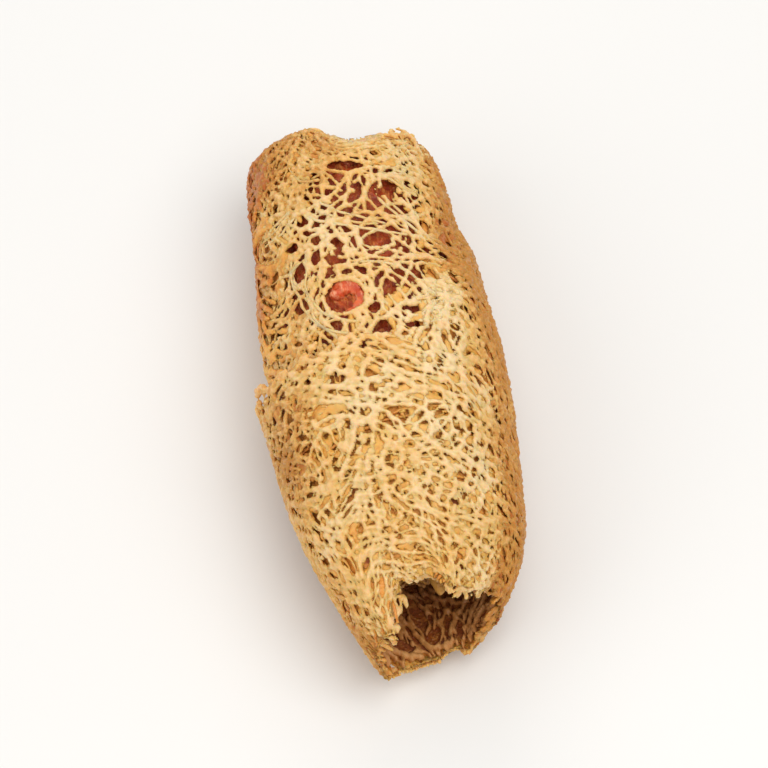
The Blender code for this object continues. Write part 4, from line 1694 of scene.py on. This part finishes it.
@dataclass
class Filling:
    """The filling: a log of minced meat and shrimp that shows through the loosened net.

    Attributes:
        form: The roll's form.
        outline: Radius and along of the log's profile.
        columns: Points round it.
        dents: Depth of its coarse, middle and fine dents.
    """

    form: RollForm = field(default_factory=RollForm)
    outline: tuple[Pair, ...] = (
        (0.0, 4.2), (6.2, 4.0), (10.2, 5.0), (11.7, 8.2), (12.2, 14.0), (12.5, 21.0), (12.9, 29.0),
        (13.2, 37.0), (12.4, 44.0), (11.8, 50.0), (11.2, 57.0), (8.6, 61.8), (4.8, 63.8), (0.0, 64.4),
    )
    columns: int = 220
    dents: Triple = (0.5, 0.3, 0.1)

    def build(self) -> Piece:
        """Makes the log: a turned profile with its surface dented by small and smaller waves."""
        curve = smooth_curve(self.outline, 14)
        angle = np.linspace(0, TURN, self.columns, endpoint=False)
        radius, turn = np.meshgrid(curve[:, 0], angle, indexing="ij")
        along = np.broadcast_to(curve[:, 1:], turn.shape)
        x, z = radius * np.sin(turn), radius * np.cos(turn)
        coarse = Waves(4.2, 51).height(x + along * 0.7, z - along * 0.6)
        middle = Waves(2.0, 52).height(x * 0.8 + along, z + along * 0.4)
        fine = Waves(0.9, 53).height(x + along * 1.2, z - along)
        deep, shallow, faint = self.dents
        dent = deep * np.abs(coarse) + shallow * np.abs(middle) + faint * fine
        share = np.minimum(1.0, radius / 4)
        points = self.form.place(np.maximum(radius - dent * share, 0.0), turn, along)
        faces = turned_faces(len(curve), len(angle))
        return add_mesh("filling_log", self.form.rested(points).reshape(-1, 3), faces[:, ::-1])


@dataclass(frozen=True)
class ShrimpPiece:
    """A curled piece of shrimp that shows under the largest hole.

    Attributes:
        form: The roll's form.
        centre: Angle, along and radius of the middle of its curl.
        curl: Radius of the curl.
        turns: Where the curl starts and ends, on the log's surface.
        half_width: Half width of the flesh.
        tapers: How fast it thickens from the head's end and from the tail.
        slimming: Its thickness at the start, and how much of that it loses, as shares.
        pinches: Number and depth of the pinches between its segments.
        flatness: Height of its section over its width.
        lumps: Length, seed and height of its unevenness.
        rings: Sections along it.
        corners: Points round a section.
    """

    form: RollForm = field(default_factory=RollForm)
    centre: Triple = (math.radians(-15), 33.3, 12.9)
    curl: float = 1.95
    turns: Pair = (math.radians(-165), math.radians(120))
    half_width: float = 1.1
    tapers: Pair = (9, 5)
    slimming: Pair = (1.1, 0.35)
    pinches: Pair = (6, 0.09)
    flatness: float = 0.85
    lumps: Triple = (1.6, 95, 0.12)
    rings: int = 90
    corners: int = 28

    def build(self) -> Piece:
        """Makes the piece.

        Returns:
            A tapered tube round part of a circle on the log, with six shallow pinches between its
            segments, closed at both ends.
        """
        share = np.linspace(0, 1, self.rings)
        turn = between(self.turns, share)
        round_ = np.linspace(0, TURN, self.corners, endpoint=False)
        head, tail = self.tapers
        whole, lost = self.slimming
        count, depth = self.pinches
        thick = self.half_width * np.sqrt(np.clip(np.minimum(share * head, (1 - share) * tail), 0.0, 1.0))
        thick = thick * (whole - lost * share) * (1 - depth * np.abs(np.cos(share * count * math.pi)) ** 6)
        out = thick[:, None] * np.cos(round_)[None, :]
        up = thick[:, None] * np.sin(round_)[None, :] * self.flatness
        angle0, along0, radius0 = self.centre
        across = (self.curl + out) * np.cos(turn)[:, None]
        along = along0 + (self.curl + out) * np.sin(turn)[:, None]
        height = radius0 + up + added_waves((self.lumps,), across, along)
        points = self.form.place(height, angle0 + across / radius0, along)
        faces = turned_faces(self.rings, self.corners)
        return add_mesh("shrimp_piece", points.reshape(-1, 3), faces)


@dataclass(frozen=True)
class SoftLight:
    """A square soft light: its name, its place and side in metres, its power and its colour."""

    name: str
    place: Triple
    side: float
    power: float
    colour: Colour


@dataclass(frozen=True)
class Studio:
    """A pale floor, soft lights and a camera at the viewing angle.

    Attributes:
        azimuth: Turn of the view, where 0 looks along +Y.
        elevation: Height of the view above the floor, as an angle.
        distance: How far the camera is from its target, in metres.
        lens: Focal length in millimetres, for a sensor 36 millimetres wide.
        target: Where the camera and the lights look.
        lights: The soft lights.
        world: Strength of the even white light from all round.
        floor_half: Half the floor's side, in millimetres.
        floor_colour: Colour of the floor.
        floor_rough: Lowest and highest roughness of the floor.
    """

    azimuth: float = math.radians(-10.6)
    elevation: float = math.radians(61.4)
    distance: float = 0.62
    lens: float = 215.0
    target: Triple = (0.0, 0.0, 0.0145)
    lights: tuple[SoftLight, ...] = (
        SoftLight("key_light", (0.12, -0.12, 0.44), 0.40, 1.45, (1.0, 0.98, 0.95)),
        SoftLight("fill_light", (-0.40, -0.10, 0.30), 0.45, 0.75, (1.0, 0.98, 0.96)),
        SoftLight("rim_light", (0.02, 0.45, 0.25), 0.30, 0.6, (1.0, 0.98, 0.95)),
    )
    world: float = 0.52
    floor_half: float = 1500.0
    floor_colour: Colour = (0.80, 0.795, 0.78)
    floor_rough: Pair = (0.5, 0.62)

    def build(self) -> None:
        """Makes the floor, the lights, the world and the camera."""
        self._floor()
        for light in self.lights:
            self._lamp(light)
        scene = bpy.context.scene
        scene.world = bpy.data.worlds.new("studio")
        scene.world.use_nodes = True
        sky = scene.world.node_tree
        Graph(sky).feed(sky.nodes["Background"], {0: WHITE, 1: self.world})
        scene.view_settings.view_transform = "Standard"
        self._camera()

    def _floor(self) -> None:
        """A flat pale floor with a faint unevenness in its gloss."""
        corners = np.array([(-1, -1, 0), (1, -1, 0), (1, 1, 0), (-1, 1, 0)]) * self.floor_half
        floor = add_mesh("floor", corners, np.array([[0, 1, 2, 3]]))
        made, graph, shader = new_material("pale_floor")
        gloss = graph.noise(graph.millimetres(), scale=0.02)
        rough = graph.spread(gloss, low=0.3, high=0.7, to=self.floor_rough)
        graph.feed(shader, {"Base Color": (*self.floor_colour, 1.0), "Roughness": rough})
        floor.data.materials.append(made)

    def _lamp(self, light: SoftLight) -> None:
        """A square soft light that looks at the roll."""
        data = bpy.data.lights.new(light.name, "AREA")
        data.size, data.energy, data.color = light.side, light.power, light.colour
        lamp = bpy.data.objects.new(light.name, data)
        ahead = Vector(self.target) - Vector(light.place)
        lamp.location = light.place
        lamp.rotation_euler = ahead.to_track_quat("-Z", "Y").to_euler()
        bpy.context.scene.collection.objects.link(lamp)

    def _camera(self) -> None:
        """The camera: azimuth 0 looks along +Y, and the elevation is above the floor."""
        data = bpy.data.cameras.new("camera")
        data.lens = self.lens
        data.sensor_width = 36.0
        data.clip_start, data.clip_end = 0.01, 10.0
        camera = bpy.data.objects.new("camera", data)
        flat, high = math.cos(self.elevation), math.sin(self.elevation)
        back = Vector((math.sin(self.azimuth) * flat, -math.cos(self.azimuth) * flat, high))
        camera.location = Vector(self.target) + back * self.distance
        camera.rotation_euler = (-back).to_track_quat("-Z", "Y").to_euler()
        bpy.context.scene.collection.objects.link(camera)
        bpy.context.scene.camera = camera


@dataclass(frozen=True)
class Finishes:
    """The finishes of the fried pieces, by the piece's name, and of the filling."""

    web: FriedFinish = FriedFinish("crisp_web", (0.85, 0.63, 0.37), (0.76, 0.42, 0.12), (0.50, 0.21, 0.03))
    strands: FriedFinish = FriedFinish(
        "crisp_strands", (0.86, 0.62, 0.36), (0.78, 0.46, 0.16), (0.50, 0.21, 0.03)
    )
    golden: FriedFinish = FriedFinish(
        "golden_web", (0.82, 0.47, 0.14), (0.76, 0.34, 0.06), (0.46, 0.13, 0.015)
    )
    amber: FriedFinish = FriedFinish(
        "amber_strands", (0.78, 0.38, 0.08), (0.66, 0.24, 0.035), (0.34, 0.08, 0.01)
    )
    mouth: FriedFinish = FriedFinish(
        "dark_web", (0.66, 0.34, 0.11), (0.50, 0.20, 0.05), (0.26, 0.075, 0.018), glow=0.0
    )
    coil_net: FriedFinish = FriedFinish(
        "coil_net", (0.58, 0.30, 0.09), (0.42, 0.17, 0.04), (0.20, 0.055, 0.012), glow=0.0
    )
    coil: FriedFinish = FriedFinish(
        "olive_coil", (0.68, 0.37, 0.08), (0.54, 0.25, 0.04), (0.20, 0.06, 0.01), 0.5, 0.12, glow=0.0
    )
    sheet: FriedFinish = FriedFinish(
        "amber_sheet", (0.86, 0.45, 0.11), (0.76, 0.31, 0.05), (0.25, 0.06, 0.012), 1.0, 0.15, glow=0.0
    )
    meat: FillingFinish = FillingFinish(
        "minced_meat", (0.26, 0.022, 0.004), (0.52, 0.085, 0.014), (0.80, 0.30, 0.07)
    )
    shrimp: FillingFinish = FillingFinish(
        "cooked_shrimp", (0.52, 0.05, 0.010), (0.76, 0.15, 0.035), (0.90, 0.44, 0.24), 0.7, 0.16, (0.3, 0.22)
    )

    def fried(self) -> dict[str, FriedFinish]:
        """The finish of each fried piece."""
        crisp = ("last_turn_web", "inner_turn_web", "last_turn_web_under", "inner_turn_web_under")
        return {
            **dict.fromkeys((*crisp, "end_web", "rim_flap"), self.web),
            "outer_strands": self.strands, "golden_web": self.golden, "amber_strands": self.amber,
            "mouth_web": self.mouth, "coil_web": self.coil_net, "inner_coil": self.coil,
            "fried_sheet": self.sheet,
        }


def dress(piece: Piece, finish: Material) -> None:
    """Gives a piece its material and its body, and reports it."""
    piece.data.materials.append(finish)
    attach(piece, "root")
    LOG.info("%s: %d faces", piece.name, len(piece.data.polygons))


def build_net(finishes: Finishes) -> None:
    """Builds the wrapper's pieces and dresses each in its fried finish."""
    colours, grain = fried_colour_group(), batter_grain_group()
    wanted = finishes.fried()
    made = {finish.name: finish.build(colours, grain) for finish in wanted.values()}
    wrapper, coil = Wrapper(), MouthCoil()
    pieces = [layer.build() for layer in [*wrapper.layers(), coil.net()]]
    pieces += [coil.build(), wrapper.sheet()]
    for piece in pieces:
        dress(piece, made[wanted[piece.name].name])
    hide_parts("net_wrapper")


def build_filling(finishes: Finishes) -> None:
    """Builds the log and the shrimp and dresses them."""
    log = Filling().build()
    dress(log, finishes.meat.build())
    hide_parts("filling")
    dress(ShrimpPiece().build(), finishes.shrimp.build())


def main() -> None:
    """Loads the frame and builds the roll, piece by piece."""
    logging.basicConfig(level=logging.INFO, format="%(name)s %(message)s")
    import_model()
    finishes = Finishes()
    build_net(finishes)
    build_filling(finishes)
    Studio().build()


if __name__ == "__main__":
    main()
